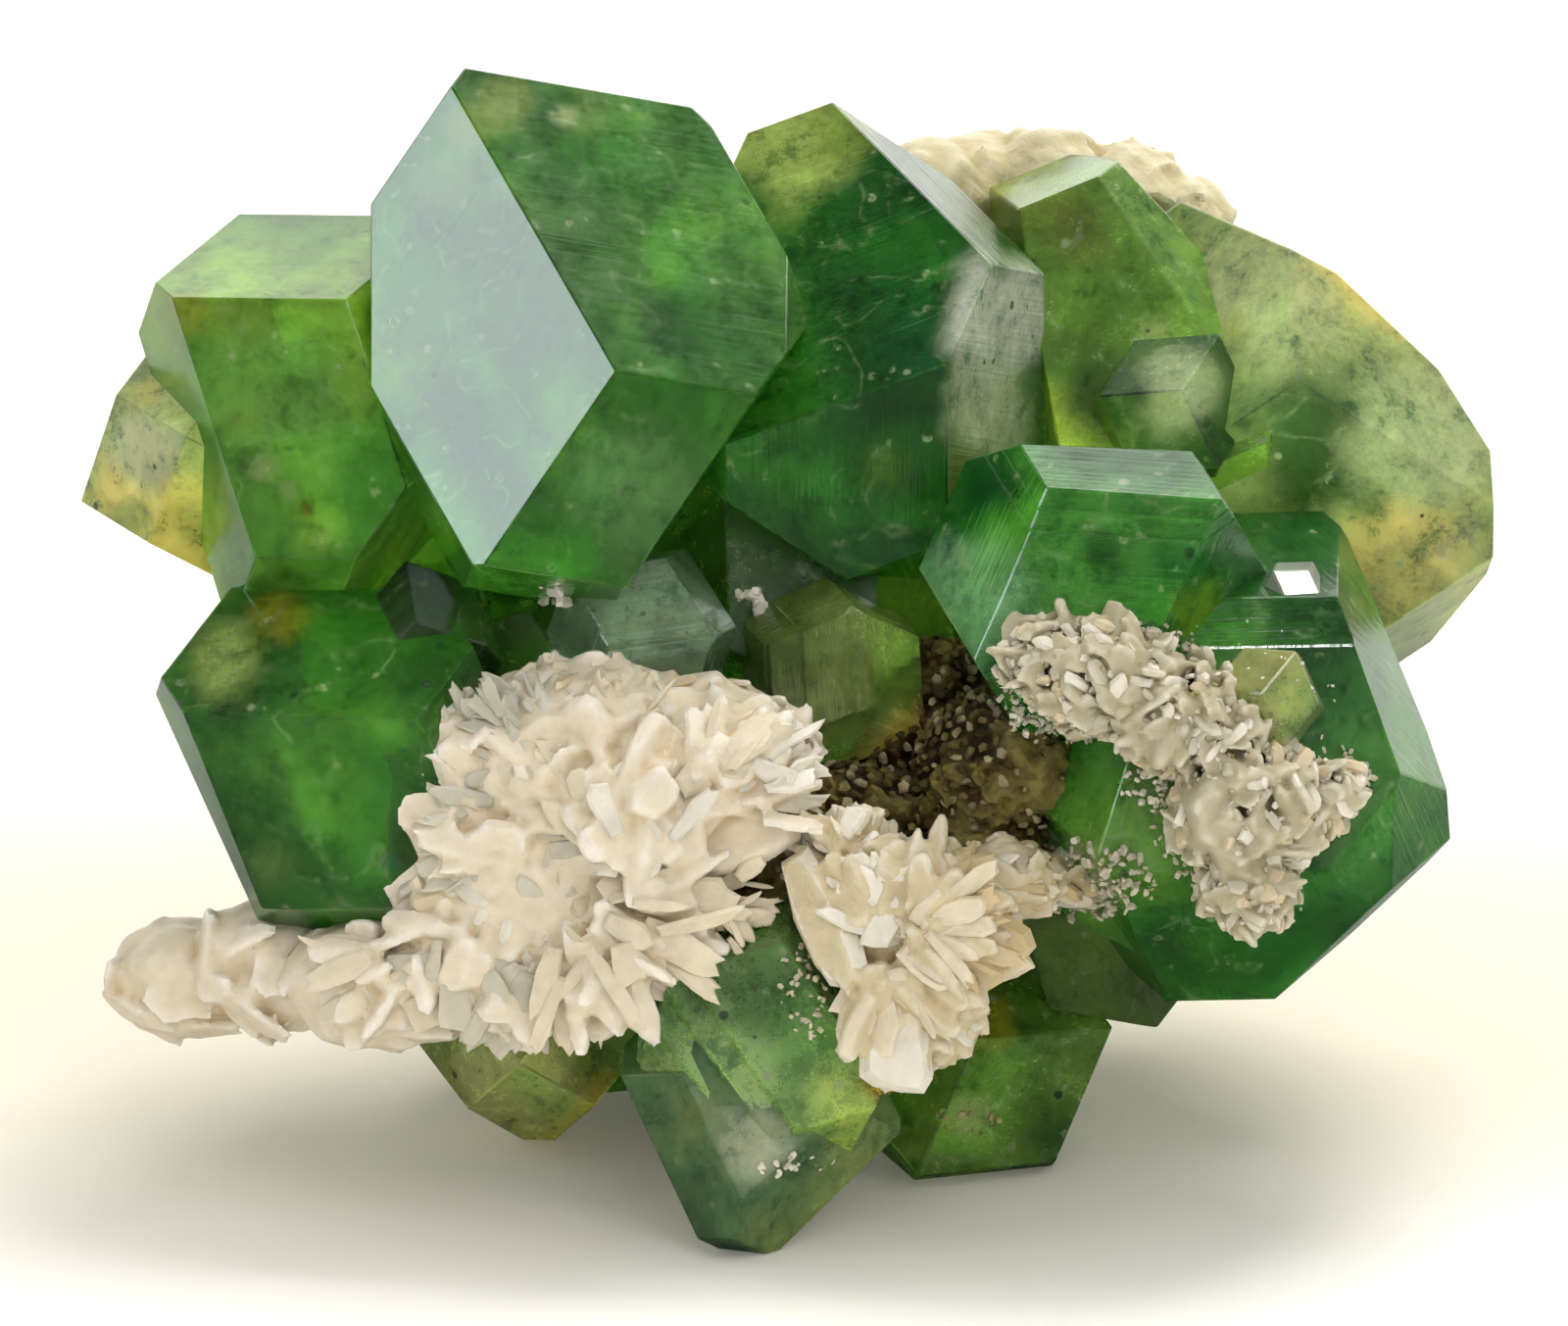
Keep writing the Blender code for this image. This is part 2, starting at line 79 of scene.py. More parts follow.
CRYSTALS = [
    crystal("crown", at=(-3.5, -3.9, 15.0), turn=(-65, -68, -141), reach=3.15,
            faces={(1, 1, 0): 2.10, (1, 0, 1): 1.80, (1, -1, 0): 4.15, (0, -1, 1): 3.75,
                   (1, 0, -1): 4.05, (0, 1, -1): 3.70, (-1, 1, 0): 4.60, (-1, 0, 1): 3.20},
            cuts=[((0.28, 0.38, -0.88), 3.50), ((0.44, -0.62, 0.65), 3.90), ((-0.04, -0.32, 0.95), 3.50)]),
    crystal("left_block", at=(-8.3, -1.9, 13.0), turn=(-101, -36, -147), reach=2.85,
            faces={(1, 0, 1): 2.75, (1, 1, 0): 2.25, (0, 1, 1): 3.70, (0, -1, 1): 2.95, (0, -1, -1): 2.95},
            cuts=[((0.02, 0.69, -0.73), 1.40)]),
    crystal("lower_left_block", at=(-8.0, -5.0, 7.6), turn=(-115, -22, -144), reach=2.85,
            faces={(1, 0, 1): 2.30, (1, -1, 0): 2.45, (1, 1, 0): 2.00, (0, 1, 1): 2.80,
                   (0, -1, 1): 3.65, (0, -1, -1): 2.75},
            cuts=[((0.04, 0.87, -0.49), 1.20), ((0.68, -0.40, -0.61), 3.55)]),
    crystal("top_middle", at=(1.3, -1.7, 14.1), turn=(137, -33, -57), reach=3.00,
            faces={(1, 0, 1): 2.75, (1, 1, 0): 1.40, (1, -1, 0): 2.45, (1, 0, -1): 2.65,
                   (0, 1, -1): 4.65, (0, 1, 1): 3.55, (0, -1, 1): 3.95, (0, -1, -1): 3.05}),
    crystal("barrel", at=(5.3, -5.7, 11.0), turn=(105, -29, -44), reach=2.50,
            faces={(1, 0, 1): 2.30, (1, -1, 0): 2.15},
            cuts=[((0.12, 0.79, -0.60), 1.85), ((0.31, 0.78, 0.55), 2.95), ((0.22, 0.58, 0.78), 3.55),
                  ((0.10, 0.14, 0.98), 3.55), ((0.06, -0.53, 0.85), 3.10)],
            ledges=[((1, 0, 1), (1, 1, 0), 2, 0.28, 0.07)]),
    crystal("right_block", at=(7.8, -4.5, 7.6), turn=(100, -38, -35), reach=3.60,
            faces={(1, 0, 1): 3.35},
            cuts=[((0.81, 0.33, 0.48), 3.70), ((0.93, -0.26, -0.27), 3.20), ((0.63, -0.65, 0.42), 3.90),
                  ((0.0, -0.41, 0.91), 4.60), ((0.58, -0.33, -0.75), 2.70),
                  ((0.91, -0.17, -0.38), 3.10), ((0.72, 0.66, -0.21), 4.50),
                  ((0.11, -0.99, -0.02), 3.40), ((-0.18, -0.78, 0.60), 5.30)]),
    crystal("bottom_front", at=(-0.5, -7.6, 3.1), turn=(-96, -23, -130), reach=2.00,
            faces={(1, 0, 1): 1.55, (1, -1, 0): 2.45, (1, 1, 0): 1.55, (0, 1, 1): 1.80, (0, -1, 1): 2.05},
            cuts=[((0.25, 0.66, -0.71), 1.65)],
            ledges=[((1, 0, 1), (1, 1, 0), 2, 0.32, 0.14)]),
    crystal("bottom_tip", at=(-0.6, -7.1, 2.15), turn=(168, 19, -93), reach=1.95,
            faces={(0, 1, 1): 1.30, (0, -1, 1): 1.70, (1, 0, 1): 2.50, (-1, 0, 1): 2.50},
            cuts=[((0.70, -0.27, 0.66), 2.80)]),
    crystal("left_pale", at=(-9.6, -1.4, 12.2), turn=(110, -18, -102), reach=2.00,
            faces={(0, 1, 1): 1.70, (0, -1, 1): 1.95}),
    crystal("bottom_right", at=(3.1, -2.6, 1.8), turn=(121, -17, -29), reach=2.10),
    crystal("bottom_left", at=(-4.3, -1.4, 1.9), turn=(-177, 0, -96), reach=1.55),
    crystal("under_right", at=(5.6, -3.2, 4.2), turn=(153, -48, -31), reach=1.55),
    crystal("etched_green", at=(6.1, -5.4, 6.3), turn=(74, -31, -54), reach=1.50),
    crystal("dark_small", at=(-6.0, -5.1, 9.8), turn=(-61, -73, -167), reach=1.05),
    crystal("dark_wedge", at=(-4.5, -3.6, 9.3), turn=(127, -70, 0), reach=1.35),
    crystal("striated_centre", at=(0.8, -4.3, 9.0), turn=(134, -49, -70), reach=1.35,
            ledges=[((1, 0, 1), (0, 1, 1), 2, 0.25, 0.12), ((1, 0, 1), (1, -1, 0), 1, 0.2, 0.10)]),
    crystal("striated_silver", at=(-2.5, -4.5, 9.6), turn=(-71, -45, -150), reach=1.40,
            ledges=[((1, 0, 1), (0, 1, 1), 2, 0.22, 0.10)]),
    crystal("upper_right", at=(5.5, 0.8, 12.7), turn=(-74, -26, -154), reach=3.60,
            faces={(1, 0, 1): 2.35},
            cuts=[((0.27, -0.95, 0.12), 3.90), ((0.84, -0.44, -0.32), 3.80), ((0.12, -0.55, 0.83), 3.00),
                  ((-0.38, -0.83, 0.41), 2.75), ((0.83, 0.39, -0.39), 1.35)]),
    crystal("right_pale", at=(8.5, 1.8, 11.5), turn=(-132, -81, -90), reach=4.05,
            cuts=[((0.46, -0.76, 0.46), 2.75), ((-0.47, -0.46, 0.75), 4.10), ((0.80, -0.60, 0.06), 2.80),
                  ((0.65, -0.71, 0.28), 2.55), ((0.0, -0.70, 0.71), 3.40)]),
    crystal("right_dark", at=(6.6, -1.6, 12.8), turn=(131, -62, -9), reach=1.20),
    crystal("back_left", at=(-6.2, 1.6, 10.5), turn=(-150, 1, 120), reach=2.65),
    crystal("back_crown", at=(-2.7, 3.0, 12.6), turn=(-13, 6, 35), reach=3.15,
            ledges=[((1, 0, 1), (1, 1, 0), 1, 0.4, 0.12)]),
    crystal("back_top", at=(2.1, 3.4, 11.5), turn=(-2, 24, 40), reach=3.00),
    crystal("back_right", at=(6.6, 4.1, 8.2), turn=(-110, 8, 63), reach=3.10,
            ledges=[((-1, 0, 1), (0, 1, 1), 2, 0.3, 0.1)]),
    crystal("back_lower_right", at=(7.1, 0.8, 5.7), turn=(-66, 24, -8), reach=2.50),
    crystal("back_lower_left", at=(-6.3, -0.7, 6.4), turn=(-121, 29, 133), reach=2.60),
    crystal("back_bottom", at=(-2.7, 1.7, 3.2), turn=(-81, 31, 37), reach=2.75),
    crystal("back_middle", at=(0.0, 5.4, 7.2), turn=(-141, 9, 84), reach=3.15,
            ledges=[((0, 1, 1), (1, 1, 0), 1, 0.4, 0.12)]),
    crystal("bottom_middle", at=(-0.7, -4.3, 3.6), turn=(-35, 20, 60), reach=2.20),
    crystal("inner_middle", at=(0.3, -1.8, 9.5), turn=(20, -35, 15), reach=2.20),
    crystal("foot", at=(1.3, 0.4, 2.3), turn=(180, 45, 152), reach=2.50, faces={(1, 0, 1): 2.35}),
    # A small crystal whose face mirrors the spark light; its near-white body colour is a painted glint.
    crystal("mirroring_facet_painted_white", at=(8.56, -5.78, 10.75), turn=(43, 0, -43), reach=0.52),
    crystal("yellowish", at=(8.1, -7.85, 9.5), turn=(30, 15, 25), reach=0.80),
]

# Body colour of each crystal as the picture's 0 to 255 values, then how mottled it is, how cloudy its
# surface is and how strongly it is lined
Look = namedtuple("Look", "colour mottle frost lines")
LOOKS = {
    "crown": Look((70, 142, 38), 0.60, 0.02, 0.35),
    "left_block": Look((94, 160, 50), 0.60, 0.10, 0.15),
    "lower_left_block": Look((60, 132, 36), 0.75, 0.10, 0.15),
    "top_middle": Look((38, 116, 34), 0.80, 0.04, 0.80),
    "barrel": Look((52, 136, 52), 0.80, 0.03, 0.90),
    "right_block": Look((48, 124, 44), 0.70, 0.08, 0.60),
    "bottom_front": Look((140, 200, 96), 0.80, 0.25, 0.50),
    "bottom_tip": Look((112, 156, 104), 0.60, 0.10, 0.30),
    "left_pale": Look((190, 210, 110), 0.90, 0.30, 0.10),
    "bottom_right": Look((116, 164, 60), 0.90, 0.20, 0.20),
    "bottom_left": Look((190, 204, 96), 0.80, 0.20, 0.10),
    "etched_green": Look((86, 160, 30), 0.70, 0.80, 0.10),
    "under_right": Look((120, 154, 54), 0.80, 0.50, 0.10),
    "dark_small": Look((50, 80, 34), 0.60, 0.15, 0.10),
    # Both striated crystals are paler than their neighbours: painted light that makes up for the shade of the
    # cavity they sit in.
    "striated_centre": Look((186, 214, 112), 0.70, 0.05, 1.00),
    "striated_silver": Look((190, 226, 182), 0.70, 0.05, 1.00),
    "upper_right": Look((146, 204, 62), 0.85, 0.20, 0.10),
    "right_pale": Look((196, 214, 124), 0.90, 0.35, 0.05),
    "right_dark": Look((58, 100, 40), 0.80, 0.20, 0.10),
    # Near-white body colour: a painted glint, added to the spark light that the face mirrors.
    "mirroring_facet_painted_white": Look((230, 235, 225), 0.00, 0.00, 0.00),
    "yellowish": Look((130, 162, 108), 0.70, 0.30, 0.10),
}
USUAL = Look((78, 138, 36), 0.70, 0.20, 0.15)


# Colour zones of each crystal: across and down in picture pixels, radius in pixels, colour, strength
CREAM = (206, 208, 150)
RUST = (150, 108, 12)
TEAL = (10, 66, 44)
YELLOW = (176, 172, 38)
ZONES = {
    "crown": [(520, 105, 34, (170, 186, 80), 0.6), (600, 120, 30, (140, 170, 60), 0.5),
        (577, 122, 12, CREAM, 0.7), (690, 330, 52, TEAL, 0.7), (640, 220, 110, (32, 112, 22), 0.65),
        (740, 330, 90, (28, 100, 26), 0.65), (480, 130, 26, (150, 170, 60), 0.7),
        (650, 500, 80, (128, 180, 108), 0.6), (455, 190, 40, (160, 190, 110), 0.4),
        (735, 200, 40, (60, 120, 40), 0.5), (520, 300, 130, (78, 118, 66), 0.75),
        (500, 460, 90, (60, 96, 60), 0.75)],
    "left_block": [(245, 432, 13, RUST, 0.9), (262, 425, 7, RUST, 0.8), (315, 521, 9, RUST, 0.9),
        (268, 478, 14, CREAM, 0.7), (292, 500, 9, CREAM, 0.6), (335, 548, 8, CREAM, 0.6),
        (195, 320, 24, YELLOW, 0.6), (250, 330, 36, (130, 160, 40), 0.5),
        (390, 500, 60, (56, 118, 36), 0.6), (280, 410, 90, (136, 200, 80), 0.7)],
    "left_pale": [(140, 460, 46, (252, 255, 190), 0.95), (160, 480, 18, CREAM, 0.7),
        (180, 400, 22, CREAM, 0.6), (200, 530, 30, (190, 196, 96), 0.6),
        (130, 530, 30, (84, 138, 30), 0.7)],
    "lower_left_block": [(285, 630, 32, YELLOW, 0.75), (250, 655, 26, (140, 160, 50), 0.6),
        (162, 640, 16, CREAM, 0.6), (200, 650, 26, (26, 74, 14), 0.7),
        (400, 880, 12, (40, 140, 90), 0.8), (280, 880, 30, (120, 150, 70), 0.5),
        (440, 870, 44, (44, 70, 10), 0.7), (350, 770, 60, (34, 90, 24), 0.5),
        (230, 672, 44, (186, 216, 110), 0.85)],
    "top_middle": [(810, 150, 70, (214, 240, 120), 0.85), (860, 130, 40, (150, 180, 70), 0.6),
        (965, 300, 16, (12, 30, 14), 0.9), (880, 270, 70, (20, 84, 30), 0.6),
        (900, 480, 30, (84, 110, 20), 0.6), (940, 340, 60, (12, 92, 50), 0.6),
        (790, 520, 50, (40, 110, 30), 0.5), (1030, 330, 70, (255, 255, 236), 1.0),
        (1015, 420, 60, (240, 246, 210), 0.9)],
    "upper_right": [(1040, 200, 60, (150, 176, 40), 0.7), (1100, 240, 40, (120, 116, 16), 0.6),
        (1150, 300, 50, (70, 120, 26), 0.5), (1130, 400, 60, (40, 86, 18), 0.7),
        (1180, 340, 20, CREAM, 0.5), (1200, 420, 40, (140, 166, 120), 0.6)],
    "right_pale": [(1300, 300, 90, (226, 232, 160), 0.8), (1340, 460, 80, (26, 76, 20), 0.95),
        (1280, 430, 50, (52, 110, 40), 0.7), (1400, 510, 34, (44, 100, 30), 0.6),
        (1440, 590, 60, (176, 190, 110), 0.6), (1475, 560, 16, CREAM, 0.8), (1500, 540, 12, CREAM, 0.8),
        (1470, 620, 14, CREAM, 0.7), (1400, 610, 18, CREAM, 0.6), (1260, 335, 22, YELLOW, 0.6),
        (1310, 350, 18, CREAM, 0.4), (1450, 450, 80, (224, 236, 168), 0.85)],
    "barrel": [(1220, 630, 34, (132, 168, 20), 0.8), (1120, 560, 24, (20, 90, 20), 0.7),
        (985, 600, 60, (160, 222, 160), 0.8), (1010, 500, 36, (12, 66, 44), 0.8),
        (970, 560, 20, (160, 200, 170), 0.6)],
    "right_dark": [(1200, 395, 52, (206, 214, 168), 0.9), (1130, 400, 46, (30, 70, 16), 0.9)],
    "bottom_front": [(760, 1150, 44, (226, 232, 190), 0.8), (735, 1090, 70, (196, 240, 140), 0.8),
        (780, 1020, 50, (74, 130, 44), 0.6), (900, 1100, 26, (196, 176, 30), 0.9),
        (670, 1090, 26, CREAM, 0.4)],
    "bottom_tip": [(770, 1160, 40, (226, 232, 190), 0.8)],
    "right_block": [(1150, 860, 76, (120, 190, 50), 0.9), (1190, 820, 30, (140, 200, 70), 0.8),
        (1110, 890, 34, (130, 180, 60), 0.8), (1340, 640, 60, (20, 84, 16), 0.7),
        (1330, 880, 60, (70, 130, 60), 0.5), (1375, 850, 60, (96, 160, 80), 0.5),
        (1220, 980, 60, (60, 110, 40), 0.6)],
    "bottom_right": [(1010, 1040, 30, (190, 180, 30), 0.7), (1050, 1130, 50, (100, 150, 40), 0.6),
        (990, 1140, 22, CREAM, 0.5), (1090, 1170, 40, (34, 84, 24), 0.7)],
    "bottom_left": [(530, 1110, 80, (250, 252, 160), 0.95)],
    "striated_centre": [(925, 700, 34, (110, 150, 40), 0.7), (800, 690, 40, (44, 80, 24), 0.6)],
}


# White mineral and rock: lumps by centre and radii
Lump = namedtuple("Lump", "centre radii")
FRONT_SHEAF = [Lump((-3.3, -6.8, 8.0), (2.5, 1.6, 1.8)), Lump((-1.5, -6.4, 8.1), (1.9, 1.3, 1.3)),
               Lump((-5.4, -7.0, 7.3), (1.2, 1.1, 2.0)), Lump((-4.3, -7.2, 5.8), (2.3, 1.6, 1.9)),
               Lump((-2.7, -7.8, 5.6), (1.5, 1.1, 1.1))]
FRONT_TAIL = [Lump((-6.5, -6.9, 4.3), (2.0, 1.3, 1.1)), Lump((-8.6, -5.6, 4.2), (1.4, 1.2, 1.2)),
              Lump((-10.2, -4.7, 3.7), (1.3, 1.1, 1.0))]
CENTRE_ROSETTE = [Lump((2.0, -7.9, 5.8), (1.7, 1.3, 1.2)), Lump((2.2, -8.3, 4.3), (1.2, 1.0, 1.1)),
                  Lump((1.1, -7.2, 6.5), (1.0, 0.8, 0.7)), Lump((3.6, -7.0, 6.1), (1.0, 0.8, 0.7)),
                  Lump((4.8, -6.3, 6.0), (1.0, 0.7, 0.5)), Lump((5.8, -6.2, 6.0), (0.8, 0.7, 0.5))]
RIGHT_CRUST = [Lump((4.4, -8.2, 10.3), (0.8, 0.7, 0.7)), Lump((5.4, -8.3, 10.0), (1.2, 0.9, 1.0)),
               Lump((6.5, -8.4, 9.4), (1.2, 0.9, 0.9)),
               Lump((7.3, -8.3, 9.0), (0.9, 0.8, 0.8)), Lump((7.8, -8.5, 7.8), (1.3, 1.0, 1.3)),
               Lump((7.8, -8.7, 6.5), (0.8, 0.8, 0.8)), Lump((9.1, -8.2, 8.0), (0.55, 0.6, 0.55))]
BACK_PATCH = [Lump((2.4, 3.3, 15.3), (1.1, 1.1, 1.1)), Lump((3.4, 4.2, 15.3), (1.2, 1.2, 1.0)),
              Lump((4.6, 4.0, 15.5), (1.1, 1.1, 1.0)), Lump((5.9, 4.2, 15.2), (1.1, 1.1, 1.0)),
              Lump((6.9, 4.0, 14.8), (0.8, 1.0, 0.9))]
ROCK = [Lump((4.0, -5.4, 7.7), (1.9, 1.7, 1.4)), Lump((2.6, -3.5, 7.7), (1.8, 1.8, 1.7)),
        Lump((1.1, -5.6, 6.7), (1.7, 1.3, 1.1)), Lump((-0.2, -6.3, 6.0), (1.0, 1.0, 0.8)),
        Lump((3.3, -5.9, 6.4), (1.5, 1.2, 0.8)), Lump((4.1, -2.6, 6.6), (2.5, 2.2, 2.2)),
        Lump((1.6, -1.1, 6.2), (2.7, 2.2, 2.3))]

# Colours of the white mineral
WHITE = (234, 228, 212)
PALE = (226, 214, 188)
GREY = (208, 202, 182)
HONEY = (212, 192, 148)
FROST = (194, 188, 164)
FRINGE = (198, 194, 176)
SOFT = (214, 198, 166)
STRAW = (176, 164, 118)
STONE = (112, 102, 48)

# Fans of blades: picture pixel of their root and millimetres that it stands in front, first and last
# angle with 0 to the right and 90 upwards, how many, length, width, how far the tips lean back, colour
Fan = namedtuple("Fan", "x y forward first last count length width lean colour")
FRONT_FANS = [
    Fan(640, 860, 8.6, 55, 150, 44, 2.55, 0.62, 0.42, PALE),
    Fan(650, 860, 8.8, 50, 140, 34, 1.95, 0.66, 0.26, PALE),
    Fan(650, 870, 9.0, 40, 130, 26, 1.35, 0.60, 0.12, WHITE),
    Fan(720, 800, 8.6, 20, 110, 30, 1.60, 0.50, 0.40, PALE),
    Fan(760, 800, 8.3, -10, 80, 24, 1.25, 0.36, 0.50, WHITE),
    Fan(600, 860, 8.3, 110, 190, 46, 2.35, 0.42, 0.40, GREY),
    Fan(590, 880, 8.2, 150, 235, 34, 1.75, 0.50, 0.55, GREY),
    Fan(620, 930, 9.2, -75, 20, 26, 1.90, 0.52, 0.20, PALE),
    Fan(600, 960, 9.0, -110, -20, 34, 1.60, 0.50, 0.40, PALE),
    Fan(540, 990, 8.6, -150, -60, 34, 1.30, 0.45, 0.50, GREY),
    Fan(480, 960, 8.6, -190, -60, 34, 1.50, 0.50, 0.45, GREY),
    Fan(400, 980, 8.5, -200, -40, 34, 1.35, 0.46, 0.50, PALE),
]
FRINGE_FANS = [
    Fan(530, 800, 7.7, 115, 215, 64, 1.65, 0.28, 0.05, FRINGE),
    Fan(540, 755, 7.7, 80, 165, 44, 1.20, 0.24, 0.10, FRINGE),
    Fan(515, 870, 7.8, 135, 235, 56, 1.50, 0.28, 0.05, FRINGE),
    Fan(640, 755, 7.6, 50, 130, 40, 1.00, 0.24, 0.10, PALE),
    Fan(600, 990, 8.2, -130, -40, 40, 1.00, 0.26, 0.10, PALE),
    Fan(720, 920, 8.2, -60, 40, 36, 1.10, 0.24, 0.10, PALE),
    Fan(780, 790, 7.8, -20, 70, 36, 1.00, 0.20, 0.20, WHITE),
]
CENTRE_FANS = [
    Fan(930, 950, 9.2, -70, 80, 44, 1.75, 0.40, 0.40, HONEY),
    Fan(925, 945, 9.4, -60, 90, 34, 1.30, 0.42, 0.15, PALE),
    Fan(900, 940, 9.2, 60, 160, 22, 1.30, 0.50, 0.30, WHITE),
    Fan(900, 990, 9.3, -120, -20, 40, 1.60, 0.46, 0.35, PALE),
    Fan(860, 870, 8.3, 20, 170, 26, 0.85, 0.26, 0.30, WHITE),
]

# Grains on the crystals: picture ellipse, how many, their size and how high they heap, colour
Cluster = namedtuple("Cluster", "x y across down count size heap colour")
RIGHT_GRAINS = [
    Cluster(1125, 690, 110, 64, 420, 0.14, 0.15, FROST),
    Cluster(1200, 745, 60, 40, 160, 0.13, 0.12, FROST),
    Cluster(1255, 835, 84, 78, 420, 0.14, 0.15, FROST),
    Cluster(1285, 900, 45, 40, 80, 0.13, 0.10, WHITE),
    Cluster(1362, 800, 34, 36, 90, 0.17, 0.20, FROST),
    Cluster(1060, 735, 50, 36, 140, 0.13, 0.15, WHITE),
    Cluster(1180, 800, 40, 30, 90, 0.13, 0.12, WHITE),
    Cluster(1240, 720, 120, 90, 60, 0.07, 0.05, WHITE),
]
CENTRE_GRAINS = [
    Cluster(1095, 895, 80, 36, 260, 0.16, 0.20, FROST),
    Cluster(1020, 900, 40, 40, 120, 0.14, 0.20, FROST),
    Cluster(565, 605, 14, 10, 12, 0.22, 0.05, WHITE),
    Cluster(765, 612, 16, 9, 12, 0.26, 0.05, WHITE),
    Cluster(810, 1185, 44, 10, 26, 0.14, 0.05, WHITE),
    Cluster(990, 1140, 36, 18, 26, 0.12, 0.04, STRAW),
    Cluster(820, 1010, 24, 50, 60, 0.12, 0.06, PALE),
]
YELLOW_GRAINS = Cluster(905, 1103, 20, 14, 40, 0.12, 0.15, (190, 160, 40))

# The large blades that can be told apart: base, tip, direction of the flat side, width, thickness, colour
Blade = namedtuple("Blade", "base tip facing width thickness colour")
FRONT_BLADES = [
    Blade((-3.9, -8.0, 6.5), (-0.1, -8.3, 7.3), (0.0, -1.0, 0.3), 1.35, 0.50, PALE),
    Blade((-3.3, -8.1, 6.3), (-1.4, -8.7, 5.1), (0.1, -1.0, 0.3), 0.95, 0.40, WHITE),
    Blade((-3.3, -8.1, 5.5), (-2.7, -8.6, 4.0), (-0.3, -1.0, 0.1), 0.80, 0.35, PALE),
    Blade((-2.9, -7.6, 8.0), (-0.6, -8.3, 8.5), (0.2, -0.9, 0.6), 1.30, 0.40, PALE),
    Blade((-4.0, -7.6, 8.0), (-3.0, -8.4, 9.6), (-0.3, -1.0, 0.2), 1.30, 0.40, PALE),
]
CENTRE_BLADES = [
    Blade((0.1, -8.3, 6.9), (1.2, -9.5, 4.8), (-0.5, -1.0, 0.2), 1.05, 0.40, WHITE),
    Blade((1.6, -9.0, 4.9), (2.1, -9.6, 3.1), (0.0, -1.0, 0.2), 1.30, 0.45, WHITE),
    Blade((1.4, -8.4, 5.2), (3.4, -9.1, 6.7), (-0.2, -1.0, 0.1), 1.10, 0.40, HONEY),
    Blade((2.2, -8.2, 5.3), (4.1, -8.5, 5.2), (0.1, -1.0, 0.3), 1.20, 0.40, HONEY),
    Blade((1.3, -8.6, 5.0), (1.9, -9.2, 6.9), (-0.2, -1.0, 0.2), 1.20, 0.40, WHITE),
]


# Arrays and noise

def directions():
    """The twelve face directions of a dodecahedron: every mix of two 1s, with signs, and a 0."""
    pairs = ((0, 1), (0, 2), (1, 2))
    faces = []
    for (first, second), (a, b) in itertools.product(pairs, itertools.product((1, -1), repeat=2)):
        face = [0, 0, 0]
        face[first] = a
        face[second] = b
        faces.append(tuple(face))
    return faces


FORM = directions()


def linear(colour):
    """A picture colour of 0 to 255 as the linear values that the shader works with."""
    part = np.asarray(colour, float) / 255.0
    return np.where(part <= 0.04045, part / 12.92, ((part + 0.055) / 1.055) ** 2.4)


def lattice(cell, seed):
    """A number from 0 to 1 for each whole-number cell: the fraction of a large sine of its coordinates."""
    mixed = cell @ np.array([127.1, 311.7, 74.7]) + seed * 19.19
    return np.modf(np.abs(np.sin(mixed) * 43758.5453))[0]


def cloud(points, size, seed):
    """Smooth noise from 0 to 1: lattice numbers blended between the corners of cells of that size."""
    cells = points / size
    low = np.floor(cells)
    part = cells - low
    part = part * part * (3.0 - 2.0 * part)
    total = np.zeros(len(points))
    for corner in itertools.product((0, 1), repeat=3):
        share = np.prod(np.where(corner, part, 1.0 - part), axis=1)
        total += share * lattice(low + corner, seed)
    return total


def layered(points, size, seed, layers=3):
    """Noise from 0 to 1 made of layers, each half as large and half as strong as the one before."""
    total, weight = 0.0, 0.0
    for k in range(layers):
        total = total + cloud(points, size / 2 ** k, seed + k) / 2 ** k
        weight += 1 / 2 ** k
    return total / weight


def ramp(value, low, high):
    """0 below low, 1 above high, a smooth step between them."""
    part = np.clip((value - low) / (high - low), 0.0, 1.0)
    return part * part * (3.0 - 2.0 * part)


def photo_place(points):
    """Where millimetre points stand in the picture, in pixels, seen straight along the view."""
    offset = points - np.array(AIM)
    across = offset @ np.array(RIGHT) / SCALE + PHOTO_SIZE[0] / 2
    down = PHOTO_SIZE[1] / 2 - offset @ np.array(UP) / SCALE
    return np.stack([across, down], axis=1)


def values_of(items, name, width=3, kind=float):
    """The named values of mesh items as an array, one item a row."""
    values = np.empty(len(items) * width, kind)
    items.foreach_get(name, values)
    return values.reshape(-1, width)


def placed(name, data):
    """A new object of the data, in the scene."""
    made = bpy.data.objects.new(name, data)
    bpy.context.scene.collection.objects.link(made)
    return made


# Garnet shape

def planes_of(piece):
    """The crystal's faces: directions, one a row, and their distances from the origin."""
    turn = np.array(Euler([math.radians(a) for a in piece.turn], "XYZ").to_matrix())
    faces = [(form, piece.faces.get(form, piece.reach)) for form in FORM] + list(piece.cuts)
    normals = np.array([direction for direction, _ in faces], float) @ turn.T
    normals /= np.linalg.norm(normals, axis=1)[:, None]
    return normals, normals @ np.array(piece.at) + np.array([distance for _, distance in faces])


def sliced(shell, normal, distance):
    """Cuts off what lies beyond the plane and closes the cut with one face."""
    everything = shell.verts[:] + shell.edges[:] + shell.faces[:]
    cut = bmesh.ops.bisect_plane(shell, geom=everything, dist=1e-5, plane_co=Vector(normal) * distance,
                                 plane_no=Vector(normal), clear_outer=True)
    rim = [part for part in cut["geom_cut"] if isinstance(part, bmesh.types.BMEdge)]
    if len(rim) > 2:
        bmesh.ops.contextual_create(shell, geom=rim)


